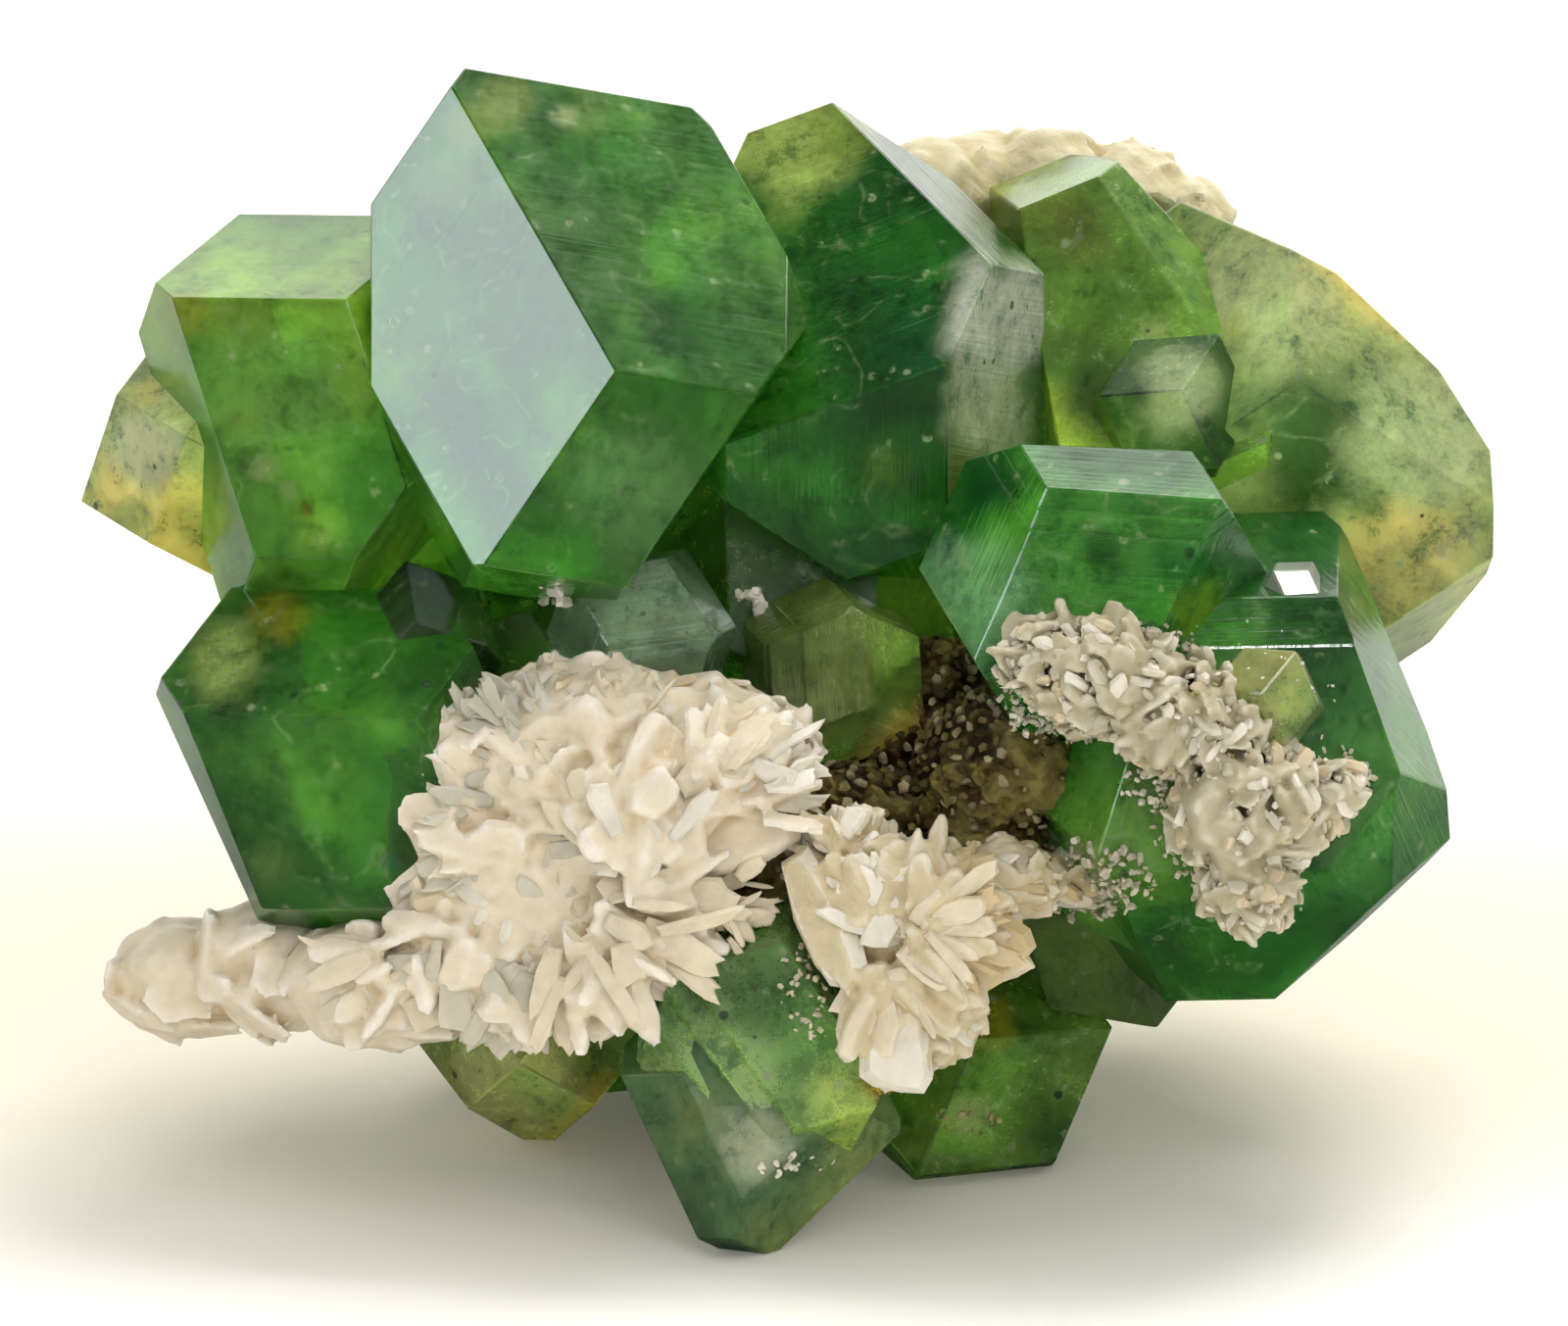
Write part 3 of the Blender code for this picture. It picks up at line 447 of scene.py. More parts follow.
def crystal_mesh(piece):
    """The solid inside the crystal's planes, with a narrow bevel along each edge.

    A bevel lies square to the middle of its two faces and cuts their edge back to the same width.
    """
    normals, distances = planes_of(piece)
    shell = bmesh.new()
    bmesh.ops.create_cube(shell, size=BLANK)
    bmesh.ops.translate(shell, verts=shell.verts, vec=piece.at)
    for normal, distance in zip(normals, distances):
        sliced(shell, normal, distance)
    shell.normal_update()
    bevels = []
    for edge in shell.edges:
        first, second = [face.normal.copy() for face in edge.link_faces]
        angle = first.angle(second)
        if angle > BEVEL_FROM:
            middle = (first + second).normalized()
            bevels.append((middle, middle.dot(edge.verts[0].co) - EDGE_WIDTH * math.tan(angle / 2) / 2))
    for middle, distance in bevels:
        sliced(shell, middle, distance)
    bmesh.ops.scale(shell, verts=shell.verts, vec=(MM, MM, MM))
    bmesh.ops.recalc_face_normals(shell, faces=shell.faces)
    return mesh_of(shell, piece.name)


def mesh_of(shell, name):
    """Turns edited geometry into a mesh."""
    mesh = bpy.data.meshes.new(name)
    shell.to_mesh(mesh)
    shell.free()
    return mesh


def with_ledges(piece):
    """The crystal, and for each ledge a thinner copy that reaches further to its side."""
    copies = []
    core = dict(piece.faces)
    for face, side, count, run, drop in piece.ledges:
        core[side] = piece.faces.get(side, piece.reach) - count * run
        for k in range(1, count + 1):
            steps = {form: piece.faces.get(form, piece.reach) - THINNER * k for form in FORM}
            steps[side] = piece.faces.get(side, piece.reach) - (count - k) * run
            steps[face] = piece.faces.get(face, piece.reach) - k * drop
            copies.append(piece._replace(faces=steps))
    return [piece._replace(faces=core)] + copies


def fused(meshes, name):
    """One mesh of all the closed meshes, joined two by two where they overlap."""
    while len(meshes) > 1:
        joined = []
        for first, second in itertools.zip_longest(meshes[::2], meshes[1::2]):
            if second is None:
                joined.append(first)
                continue
            target = placed(name, first)
            tool = placed("tool", second)
            join = target.modifiers.new("join", "BOOLEAN")
            join.operation = "UNION"
            join.solver = "MANIFOLD"
            join.object = tool
            graph = bpy.context.evaluated_depsgraph_get()
            joined.append(bpy.data.meshes.new_from_object(target.evaluated_get(graph)))
            bpy.data.objects.remove(target, do_unlink=True)
            bpy.data.objects.remove(tool, do_unlink=True)
        meshes = joined
    return meshes[0]


def cut_flat(mesh):
    """Cuts the mesh off at the surface it rests on."""
    shell = bmesh.new()
    shell.from_mesh(mesh)
    sliced(shell, (0.0, 0.0, -1.0), 0.0)
    bmesh.ops.remove_doubles(shell, verts=shell.verts, dist=0.002 * MM)
    bmesh.ops.dissolve_limit(shell, angle_limit=math.radians(0.3), verts=shell.verts, edges=shell.edges)
    return shell


def refined(shell):
    """Splits long edges in half, again and again, until each face has points to carry relief and colour."""
    bmesh.ops.triangulate(shell, faces=shell.faces, ngon_method="BEAUTY")
    for longest in (4.0, 2.0, 1.0, 0.6, 0.4, FINEST):
        split = [edge for edge in shell.edges if edge.calc_length() > longest * MM]
        bmesh.ops.subdivide_edges(shell, edges=split, cuts=1)
        bmesh.ops.triangulate(shell, faces=shell.faces, ngon_method="BEAUTY")


def garnet_piece():
    """All the crystals as one mesh."""
    parts = [crystal_mesh(step) for piece in CRYSTALS for step in with_ledges(piece)]
    shell = cut_flat(fused(parts, "garnet"))
    refined(shell)
    return placed("garnet_crystals", mesh_of(shell, "garnet_crystals"))


def facet_marks(mesh):
    """For each face of the mesh, the crystal and the crystal's plane that it belongs to.

    A face belongs to the crystal whose surface passes nearest to its middle, and to the plane of
    that crystal that looks the same way.
    """
    middles = values_of(mesh.polygons, "center") / MM
    facing = values_of(mesh.polygons, "normal")
    nearest = np.full(len(middles), np.inf)
    crystal_number = np.zeros(len(middles), int)
    plane_number = np.zeros(len(middles), int)
    for k, piece in enumerate(CRYSTALS):
        normals, distances = planes_of(piece)
        gap = np.abs((middles @ normals.T - distances).max(axis=1))
        closer = gap < nearest
        nearest[closer] = gap[closer]
        crystal_number[closer] = k
        plane_number[closer] = (facing[closer] @ normals.T).argmax(axis=1)
    return crystal_number, plane_number


# White mineral and rock

# Outlines from the foot round the tip and back: part of the length, part of the half width
GRAIN = np.array([(0.0, -0.8), (0.7, -1.0), (1.0, 0.1), (0.6, 1.0), (0.0, 0.7)])
BLADE = np.array([(0.0, -0.55), (0.35, -0.85), (0.70, -1.0), (0.92, -0.78), (1.0, -0.30),
                  (1.0, 0.30), (0.92, 0.78), (0.70, 1.0), (0.35, 0.85), (0.0, 0.55)])
CORE = ((1.3, 0.6), (0.45, 0.4))   # noise of the lumps under the blades: sizes and weights
BALL = 5                       # times that the ball under each lump is split
AVERAGED = 6                   # rounds that widen the surroundings a point is compared with
BULGE = 0.07                   # how far a point stands out, or lies back, for the full painted light or shade
GROWN_ON = 0.12                # points deeper in a crystal carry no blade
IN_FRONT = 60.0                # where the lines of sight start, before all crystals


def unit(vectors):
    """The same directions with length one."""
    return vectors / np.linalg.norm(vectors, axis=-1, keepdims=True)


def standing(x, y, forward):
    """The millimetre point seen at that picture pixel and standing that far in front."""
    down = (PHOTO_SIZE[1] / 2 - y) * SCALE
    height = (down + (forward + AIM.y) * UP.y) / UP.z
    return np.array([AIM.x + (x - PHOTO_SIZE[0] / 2) * SCALE, -forward, AIM.z + height])


def blades(base, along, facing, length, width, thickness, colour, rng, outline=BLADE):
    """Flat crystals, one for each row of the arrays, as points, triangles and colours.

    Each is a ring at half its thickness and two smaller rings on its flat sides. A point of a ring is
    base + length * u * along + half width * v * across + half thickness * w * facing, with (u, v) from
    the outline, narrower towards the tip and a little uneven; the whole blade is slightly curved.
    """
    count, ring = len(base), len(outline)
    along = unit(along)
    facing = unit(facing - along * (facing * along).sum(axis=1, keepdims=True))
    across = np.cross(facing, along)
    u = outline[:, 0] * (1.0 + 0.10 * rng.uniform(-1, 1, (count, ring)))
    v = outline[:, 1] * (1.0 + 0.20 * rng.uniform(-1, 1, (count, ring)))
    v = v * (1.0 - rng.uniform(0.0, 0.35, (count, 1)) * u ** 2)
    middle = np.full((count, 1), 0.5)
    u = np.concatenate([u, 0.5 + (u - 0.5) * 0.9, 0.5 + (u - 0.5) * 0.9, middle, middle], axis=1)
    v = np.concatenate([v, v * 0.72, v * 0.72, 0 * middle, 0 * middle], axis=1)
    w = np.repeat([0.0, 1.0, -1.0, 1.0, -1.0], [ring, ring, ring, 1, 1])[None, :] + 0.0 * u
    w = w + rng.uniform(-1.2, 0.4, (count, 1)) * (u - 0.4) ** 2 * (length / thickness)[:, None] * 0.5
    points = (base[:, None] + (length[:, None] * u)[..., None] * along[:, None]
              + (width[:, None] * v / 2)[..., None] * across[:, None]
              + (thickness[:, None] * w / 2)[..., None] * facing[:, None])
    this = np.arange(ring)
    after = (this + 1) % ring
    top, low, peak, pit = this + ring, this + 2 * ring, 3 * ring + 0 * this, 3 * ring + 1 + 0 * this
    faces = np.concatenate([np.stack(three, axis=1) for three in (
        (peak, top, after + ring), (pit, after + 2 * ring, low),
        (this, after, after + ring), (this, after + ring, top),
        (low, after + 2 * ring, after), (low, after, this))])
    size = points.shape[1]
    triangles = (faces[None] + np.arange(count)[:, None, None] * size).reshape(-1, 3)
    shade = colour[:, None] * (0.86 + 0.14 * u)[..., None]
    return points.reshape(-1, 3), triangles, shade.reshape(-1, 3)


def named_blades(table, rng):
    """The large blades of a table."""
    base, tip, facing, width, thickness, colour = (np.array(column, float) for column in zip(*table))
    return blades(base, tip - base, facing, np.linalg.norm(tip - base, axis=1), width, thickness,
                  linear(colour), rng)


def fan_blades(fan, rng, thin=0.22, thick=0.40, loose=0.45):
    """The blades of a fan: they spread in the picture's plane from near the root, and lean back.

    Their thickness is between thin and thick, and their feet stray from the root by up to loose.
    """
    count = fan.count
    angle = np.radians(np.linspace(fan.first, fan.last, count) + rng.uniform(-20, 20, count))
    right, up, back = np.array(RIGHT), np.array(UP), np.array(BACK)
    lean = fan.lean + rng.uniform(-0.30, 0.30, count)
    along = unit(np.cos(angle)[:, None] * right + np.sin(angle)[:, None] * up - lean[:, None] * back)
    facing = back + rng.uniform(-0.60, 0.60, (count, 3))
    length = fan.length * rng.uniform(0.45, 1.08, count)
    root = standing(fan.x, fan.y, fan.forward)
    base = root + along * (0.30 * fan.length * rng.uniform(0, 1, count))[:, None]
    base = base + rng.uniform(-loose, loose, (count, 3))
    tint = linear(fan.colour) * rng.uniform(0.93, 1.05, (count, 1))
    return blades(base, along, facing, 0.85 * length, fan.width * rng.uniform(0.4, 1.6, count),
                  rng.uniform(thin, thick, count), tint, rng)


def on_crystals(x, y):
    """Where the line of sight through each picture pixel first meets a crystal: the points and the
    directions that the surface faces there. Pixels that meet none are left out."""
    start = np.array(AIM) + ((x - PHOTO_SIZE[0] / 2) * SCALE)[:, None] * np.array(RIGHT)
    start = start + ((PHOTO_SIZE[1] / 2 - y) * SCALE)[:, None] * np.array(UP) + IN_FRONT * np.array(BACK)
    nearest = np.full(len(start), np.inf)
    facing = np.zeros((len(start), 3))
    for piece in CRYSTALS:
        normals, distances = planes_of(piece)
        slope = normals @ -np.array(BACK)
        reach = (distances - start @ normals.T) / slope
        into = np.where(slope < 0, reach, -np.inf)
        first = into.max(axis=1)
        hit = (first < np.where(slope > 0, reach, np.inf).min(axis=1)) & (first < nearest)
        nearest[hit] = first[hit]
        facing[hit] = normals[into.argmax(axis=1)][hit]
    seen = np.isfinite(nearest)
    return start[seen] - nearest[seen][:, None] * np.array(BACK), facing[seen]


def cluster_grains(cluster, rng):
    """Small grains strewn on the crystals inside an ellipse of the picture, thicker in its middle."""
    angle = rng.uniform(0, 2 * math.pi, cluster.count)
    far = rng.uniform(0, 1, cluster.count) ** 0.6
    place, facing = on_crystals(cluster.x + cluster.across * far * np.cos(angle),
                                cluster.y + cluster.down * far * np.sin(angle))
    count = len(place)
    place = place + facing * rng.uniform(-0.05, cluster.heap, (count, 1))
    size = cluster.size * rng.uniform(0.5, 1.3, count)
    tint = linear(cluster.colour) * rng.uniform(0.75, 1.15, (count, 1))
    return blades(place, rng.normal(size=(count, 3)), rng.normal(size=(count, 3)), size,
                  size * rng.uniform(0.5, 0.9, count), size * rng.uniform(0.3, 0.6, count), tint, rng, GRAIN)


def inside_garnet(points, depth):
    """Which points lie deeper than that inside the crystals."""
    deep = np.zeros(len(points), bool)
    for piece in CRYSTALS:
        normals, distances = planes_of(piece)
        deep |= (points @ normals.T - distances).max(axis=1) < -depth
    return deep


def spread(lumps, spacing):
    """Points spread evenly over the outer surface of the lumps, and the direction it faces there."""
    points, facing = [], []
    for lump in lumps:
        radii = np.array(lump.radii)
        count = int(4 * math.pi * (radii.prod() ** (2 / 3)) / spacing ** 2)
        step = np.arange(count) + 0.5
        turn = math.pi * (1 + math.sqrt(5)) * step
        height = 1 - 2 * step / count
        flat = np.sqrt(1 - height ** 2)
        way = np.stack([flat * np.cos(turn), flat * np.sin(turn), height], axis=1)
        place = np.array(lump.centre) + radii * way
        outside = np.ones(count, bool)
        for other in lumps:
            if other is not lump:
                inner = (place - np.array(other.centre)) / np.array(other.radii)
                outside &= (inner ** 2).sum(axis=1) > 0.92
        outside &= ~inside_garnet(place, GROWN_ON)
        points.append(place[outside])
        facing.append(unit(way / radii)[outside])
    return np.concatenate(points), np.concatenate(facing)


def scattered_blades(lumps, root, spacing, length, width, lift, colours, rng, tumble=0.5, outline=BLADE):
    """Blades spread over the lumps. They point away from the root along the surface and rise from it;
    tumble is how far their directions stray."""
    place, normal = spread(lumps, spacing)
    count = len(place)
    away = unit(place - np.array(root)) + rng.uniform(-tumble, tumble, (count, 3))
    away = unit(away - normal * (away * normal).sum(axis=1, keepdims=True))
    rise = lift + rng.uniform(-0.25, 0.25, (count, 1))
    along = away * np.cos(rise) + normal * np.sin(rise)
    facing = normal * np.cos(rise) - away * np.sin(rise) + 0.7 * rng.uniform(-tumble, tumble, (count, 3))
    length = length * rng.uniform(0.6, 1.2, count)
    tint = np.array([linear(colour) for colour in colours])[rng.integers(0, len(colours), count)]
    base = place - along * (0.45 * length)[:, None] - normal * 0.08
    widths = width * rng.uniform(0.6, 1.3, count)
    thickness = rng.uniform(0.08, 0.20, count) * min(1.0, width / 0.3)
    tint = tint * rng.uniform(0.9, 1.06, (count, 1))
    return blades(base, along, facing, length, widths, thickness, tint, rng, outline)


def ball():
    """Points and triangles of a ball of radius one."""
    shell = bmesh.new()
    bmesh.ops.create_icosphere(shell, subdivisions=BALL, radius=1.0)
    mesh = mesh_of(shell, "ball")
    points = unit(values_of(mesh.vertices, "co"))
    triangles = values_of(mesh.loops, "vertex_index", 1, int).reshape(-1, 3)
    bpy.data.meshes.remove(mesh)
    return points, triangles


def sheaf(points, root, narrow, seed):
    """Noise of ridges that run away from the root: narrow across, a few times as long, from 0 to 1."""
    offset = points - np.array(root)
    far = np.linalg.norm(offset, axis=1)[:, None]
    place = offset / far * (2.2 / narrow) + far * np.array([0.25, 0.35, 0.45])
    return 1.0 - np.abs(2.0 * layered(place, 1.0, seed, 3) - 1.0)


def lump_surfaces(lumps, relief, sizes, colour, dark, seed, root=None, part=1.0):
    """The lumps as balls stretched to their radii, as points, triangles and colours.

    The point of a ball in direction d stands at centre + radii * d, moved along the surface's direction
    by relief * (noise - 0.6) for the noise of each size; where the noise is low the colour goes dark.
    With a root, ridges that run away from it are added.
    """
    way, faces = ball()
    points, triangles, colours = [], [], []
    for k, lump in enumerate(lumps):
        radii = np.array(lump.radii) * part
        place = np.array(lump.centre) + radii * way
        noise = sum(layered(place, size, seed + 10 * j, 2) * weight for j, (size, weight) in enumerate(sizes))
        if root is not None:
            noise = 0.35 * noise + 0.65 * sheaf(place, root, 0.42, seed + 50)
        place = place + unit(way / radii) * (relief * (noise - 0.6))[:, None]
        points.append(place)
        triangles.append(faces + k * len(way))
        light = ramp(noise, 0.38, 0.60)[:, None]
        colours.append(linear(dark) * (1 - light) + linear(colour) * light)
    return np.concatenate(points), np.concatenate(triangles), np.concatenate(colours)


def together(surfaces):
    """Several surfaces as one."""
    points, triangles, colours, start = [], [], [], 0
    for place, faces, colour in surfaces:
        points.append(place)
        triangles.append(faces + start)
        colours.append(colour)
        start += len(place)
    return np.concatenate(points), np.concatenate(triangles), np.concatenate(colours)


def one_skin(surfaces, cell, rounds, painted_shade_and_light, seed):
    """The surfaces grown into one skin: the outside of all of them on a grid of that cell, smoothed.

    The colour runs from the first tint in the gaps through the second to the third on the edges, by how
    far a point stands out from the average of its surroundings, and noise shifts it: painted shade in the
    gaps, painted light on the edges.
    """
    points, triangles, _ = together(surfaces)
    mesh = bpy.data.meshes.new("fused")
    mesh.from_pydata(points, [], triangles)
    shape = placed("fused", mesh)
    skin = shape.modifiers.new("skin", "REMESH")
    skin.mode = "VOXEL"
    skin.voxel_size = cell
    soft = shape.modifiers.new("soft", "SMOOTH")
    soft.factor = 0.5
    soft.iterations = rounds
    grown = shape.evaluated_get(bpy.context.evaluated_depsgraph_get())
    result = grown.to_mesh()
    result.calc_loop_triangles()
    place = values_of(result.vertices, "co")
    normal = values_of(result.vertex_normals, "vector")
    faces = values_of(result.loop_triangles, "vertices", 3, np.int32)
    ends = values_of(result.edges, "vertices", 2, np.int32)
    grown.to_mesh_clear()
    bpy.data.objects.remove(shape)
    bpy.data.meshes.remove(mesh)
    count = len(place)
    both = np.concatenate([ends, ends[:, ::-1]])
    share = np.bincount(both[:, 0], minlength=count)[:, None]
    near = place
    for _ in range(AVERAGED):
        total = [np.bincount(both[:, 0], near[both[:, 1], k], count) for k in range(3)]
        near = np.stack(total, axis=1) / share
    bulge = ((place - near) * normal).sum(axis=1) + 0.06 * (layered(place, 0.9, seed) - 0.5)
    # Darker where a point lies back and paler where it stands out: painted shade in the gaps, painted light
    # on the edges
    deep, middle, edge = (linear(tint) for tint in painted_shade_and_light)
    low, high = ramp(bulge, -BULGE, 0.0)[:, None], ramp(bulge, 0.0, BULGE)[:, None]
    colour = (deep * (1 - low) + middle * low) * (1 - high) + edge * high
    return place, faces, colour


def object_of(name, surface, material, node, root=(0.0, 0.0, 0.0)):
    """A finished piece of the surface, in the material, standing in for the node. Its flow attribute
    runs slowly away from the root and fast across, for streaks."""
    points, triangles, colours = surface
    mesh = bpy.data.meshes.new(name)
    mesh.vertices.add(len(points))
    mesh.vertices.foreach_set("co", (points * MM).ravel())
    mesh.loops.add(triangles.size)
    mesh.loops.foreach_set("vertex_index", triangles.ravel())
    mesh.polygons.add(len(triangles))
    mesh.polygons.foreach_set("loop_start", np.arange(0, triangles.size, 3))
    mesh.update(calc_edges=True)
    mesh.validate()
    layer = mesh.color_attributes.new("tone", "FLOAT_COLOR", "POINT")
    layer.data.foreach_set("color", np.concatenate([colours, np.ones((len(colours), 1))], axis=1).ravel())
    offset = points - np.array(root)
    far = np.linalg.norm(offset, axis=1, keepdims=True)
    layer = mesh.attributes.new("flow", "FLOAT_VECTOR", "POINT")
    layer.data.foreach_set("vector", (offset / far * 14.0 + far * 0.5).ravel())
    mesh.materials.append(material)
    mesh.shade_smooth()
    mesh.set_sharp_from_angle(angle=math.radians(32))
    piece = placed(name, mesh)
    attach(piece, "root")
    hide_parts(node)


def mineral_material(name, roughness, grain, contrast, strength, streaks):
    """A pale or brown mineral: the mesh's colour, mottled by noise of that grain, with a fine relief,
    which runs in streaks along the blades where streaks is more than 0."""
    material = bpy.data.materials.new(name)
    material.use_nodes = True
    tree = material.node_tree
    shader = tree.nodes["Principled BSDF"]
    shader.inputs["Roughness"].default_value = roughness
    shader.inputs["Specular IOR Level"].default_value = 0.4
    place = add(tree, "TexCoord").outputs["Object"]
    tone = add(tree, "Attribute", attribute_name="tone").outputs["Color"]
    noise = add(tree, "TexNoise", {"Vector": place, "Scale": 1.0 / (grain * MM), "Detail": 4.0})
    noise = noise.outputs["Fac"]
    shade = add(tree, "MapRange", {"Value": noise, 1: 0.3, 2: 0.7, 3: 1.0 - contrast, 4: 1.0 + contrast})
    shade = shade.outputs[0]
    colour = add(tree, "VectorMath", {0: tone, "Scale": shade}, operation="SCALE").outputs[0]
    tree.links.new(colour, shader.inputs["Base Color"])
    height = noise
    if streaks > 0:
        flow = add(tree, "Attribute", attribute_name="flow").outputs["Vector"]
        lines = add(tree, "TexNoise", {"Vector": flow, "Scale": 1.0, "Detail": 2.0}).outputs["Fac"]
        lines = add(tree, "Math", {0: lines, 1: streaks}, operation="MULTIPLY").outputs[0]
        height = add(tree, "Math", {0: noise, 1: lines}, operation="ADD").outputs[0]
    bump = add(tree, "Bump", {"Height": height, "Strength": strength, "Distance": 0.2 * grain * MM})
    tree.links.new(bump.outputs[0], shader.inputs["Normal"])
    return material


def front_sheaf(rng, root):
    """Front left: a sheaf of broad blades with a frayed edge, and its tail."""
    # Colours for the gaps, the middle and the edges: painted shade to painted light
    painted_shade_and_light = ((204, 184, 148), (226, 213, 188), (240, 233, 220))
    parts = [lump_surfaces(FRONT_SHEAF, 0.60, CORE, PALE, GREY, 3, root, 0.95),
             lump_surfaces(FRONT_TAIL, 0.9, ((1.1, 0.8), (0.4, 0.2)), PALE, GREY, 5),
             scattered_blades(FRONT_SHEAF, root, spacing=0.60, length=1.70, width=0.70, lift=0.0,
                              colours=(PALE, WHITE), rng=rng, tumble=0.5),
             scattered_blades(FRONT_TAIL, (-4.0, -6.0, 4.6), spacing=1.0, length=1.3, width=0.80,
                              lift=-0.15, colours=(PALE, WHITE), rng=rng, tumble=0.4),
             named_blades(FRONT_BLADES, rng)]
    parts += [fan_blades(fan, rng) for fan in FRONT_FANS]
    parts = [one_skin(parts, 0.088, 1, painted_shade_and_light, 31),
             scattered_blades(FRONT_SHEAF, root, spacing=0.42, length=1.10, width=0.42, lift=0.12,
                              colours=(PALE, WHITE, GREY, SOFT), rng=rng, tumble=0.6)]
    parts += [fan_blades(fan, rng, 0.06, 0.12, 0.5) for fan in FRONT_FANS]
    parts += [fan_blades(fan, rng, 0.04, 0.08, 0.4) for fan in FRINGE_FANS]
    return together(parts)


def centre_rosette(rng, root):
    """Centre: a rosette below the cavity, with grains on the crystals round it."""
    # Colours for the gaps, the middle and the edges: painted shade to painted light
    painted_shade_and_light = ((172, 148, 104), (208, 193, 156), (230, 221, 200))
    parts = [lump_surfaces(CENTRE_ROSETTE, 0.7, CORE, PALE, HONEY, 7),
             scattered_blades(CENTRE_ROSETTE, root, spacing=0.50, length=0.90, width=0.45, lift=0.20,
                              colours=(PALE, WHITE), rng=rng, tumble=0.8),
             named_blades(CENTRE_BLADES, rng)]
    parts += [fan_blades(fan, rng, 0.20, 0.36, 0.3) for fan in CENTRE_FANS]
    parts = [one_skin(parts, 0.070, 1, painted_shade_and_light, 33), named_blades(CENTRE_BLADES, rng),
             scattered_blades(CENTRE_ROSETTE, root, spacing=0.34, length=0.60, width=0.30, lift=0.25,
                              colours=(PALE, HONEY, WHITE), rng=rng, tumble=0.9)]
    parts += [fan_blades(fan, rng, 0.06, 0.14, 0.3) for fan in CENTRE_FANS]
    parts += [cluster_grains(cluster, rng) for cluster in CENTRE_GRAINS + [YELLOW_GRAINS]]
    return together(parts)


def right_crust(rng, root):
    """Right: a rough crust of blocks and grains at all angles."""
    # Colours for the gaps, the middle and the edges: painted shade to painted light
    painted_shade_and_light = ((128, 118, 78), (180, 172, 142), (220, 214, 194))
    parts = [lump_surfaces(RIGHT_CRUST, 2.2, ((0.9, 0.7), (0.4, 0.3)), FROST, HONEY, 9, None, 0.80),
             scattered_blades(RIGHT_CRUST, root, spacing=0.44, length=0.80, width=0.50, lift=0.5,
                              colours=(FROST, WHITE), rng=rng, tumble=1.4)]
    parts = [one_skin(parts, 0.060, 0, painted_shade_and_light, 35),
             scattered_blades(RIGHT_CRUST, root, spacing=0.40, length=0.55, width=0.30, lift=0.6,
                              colours=(FROST, WHITE, GREY, SOFT), rng=rng, tumble=1.4),
             scattered_blades(RIGHT_CRUST, root, spacing=0.22, length=0.24, width=0.15, lift=0.8,
                              colours=(FROST, WHITE, GREY, STRAW), rng=rng, tumble=1.4, outline=GRAIN)]
    parts += [cluster_grains(cluster, rng) for cluster in RIGHT_GRAINS]
    return together(parts)


def back_patch(rng, root):
    """Behind the top: rounded bunches."""
    # Colours for the gaps, the middle and the edges: painted shade to painted light
    painted_shade_and_light = ((186, 168, 122), (204, 192, 152), (220, 212, 180))
    parts = [lump_surfaces(BACK_PATCH, 0.8, CORE, PALE, HONEY, 13),
             scattered_blades(BACK_PATCH, root, spacing=0.55, length=0.80, width=0.50, lift=0.2,
                              colours=(PALE, WHITE), rng=rng, tumble=0.8)]
    return one_skin(parts, 0.10, 3, painted_shade_and_light, 37)


def make_white_mineral():
    """The four patches of white mineral, each grown from its own root."""
    material = mineral_material("white_stilbite", roughness=0.40, grain=0.30, contrast=0.07,
                                strength=0.45, streaks=1.6)
    rng = np.random.default_rng(11)
    for name, shape, root, node in (
            ("stilbite_front_blades", front_sheaf, (-3.4, -6.0, 6.2), "stilbite_front"),
            ("stilbite_centre_rosette", centre_rosette, (1.9, -7.4, 5.6), "stilbite_centre"),
            ("stilbite_right_crust", right_crust, (6.8, -7.0, 8.6), "stilbite_right"),
            ("stilbite_back_patch", back_patch, (4.6, 4.0, 13.6), "stilbite_back")):
        object_of(name, shape(rng, root), material, node, root)


def make_rock():
    """The granular rock in the cavity."""
    material = mineral_material("brown_rock", roughness=0.75, grain=0.22, contrast=0.45,
                                strength=0.9, streaks=0.0)
    rng = np.random.default_rng(5)
    grains = (STONE, (118, 104, 58), (84, 66, 30), (160, 148, 112))
    rock = [lump_surfaces(ROCK, 1.5, ((1.1, 0.4), (0.4, 0.35), (0.16, 0.25)), STONE, (52, 36, 8), 17),
            scattered_blades(ROCK, (2.5, -3.5, 5.0), spacing=0.26, length=0.20, width=0.18, lift=0.4,
                             colours=grains, rng=rng, tumble=1.5, outline=GRAIN)]
    object_of("rock_in_cavity", together(rock), material, "matrix")


# Stage, light and view

FLOOR_RADIUS = 600.0
FLOOR_GAP = 0.02               # below the specimen, so that the faces don't coincide
PAPER = (0.95, 0.935, 0.89, 1.0)
# Paper under and round the specimen, darker and warmer: painted shade
PAINTED_SHADE_PAPER = (0.80, 0.745, 0.63, 1.0)
PAINTED_SHADE_MIDDLE = (0.001, 0.008, 0.0)     # of the band of painted shade on the paper, in metres
PAINTED_SHADE_SHAPE = (0.16, 1.0, 0.0)         # squeezes its length
DARK_PAINTED_REFLECTION = (0.08, 0.09, 0.08, 1.0)   # painted reflection: the paper's colour in the faces in front
PALE_PAINTED_REFLECTION = (0.70, 0.69, 0.66, 1.0)


def make_camera():
    """The camera at the photo's height and side."""
    data = bpy.data.cameras.new("camera")
    data.lens = LENS
    data.sensor_width = SENSOR
    data.clip_start = 0.01
    data.clip_end = 5.0
    camera = placed("camera", data)
    camera.location = (AIM + BACK * (FRAME_WIDTH * LENS / SENSOR)) * MM
    camera.rotation_mode = "QUATERNION"
    camera.rotation_quaternion = (-BACK).to_track_quat("-Z", "Y")
    bpy.context.scene.camera = camera


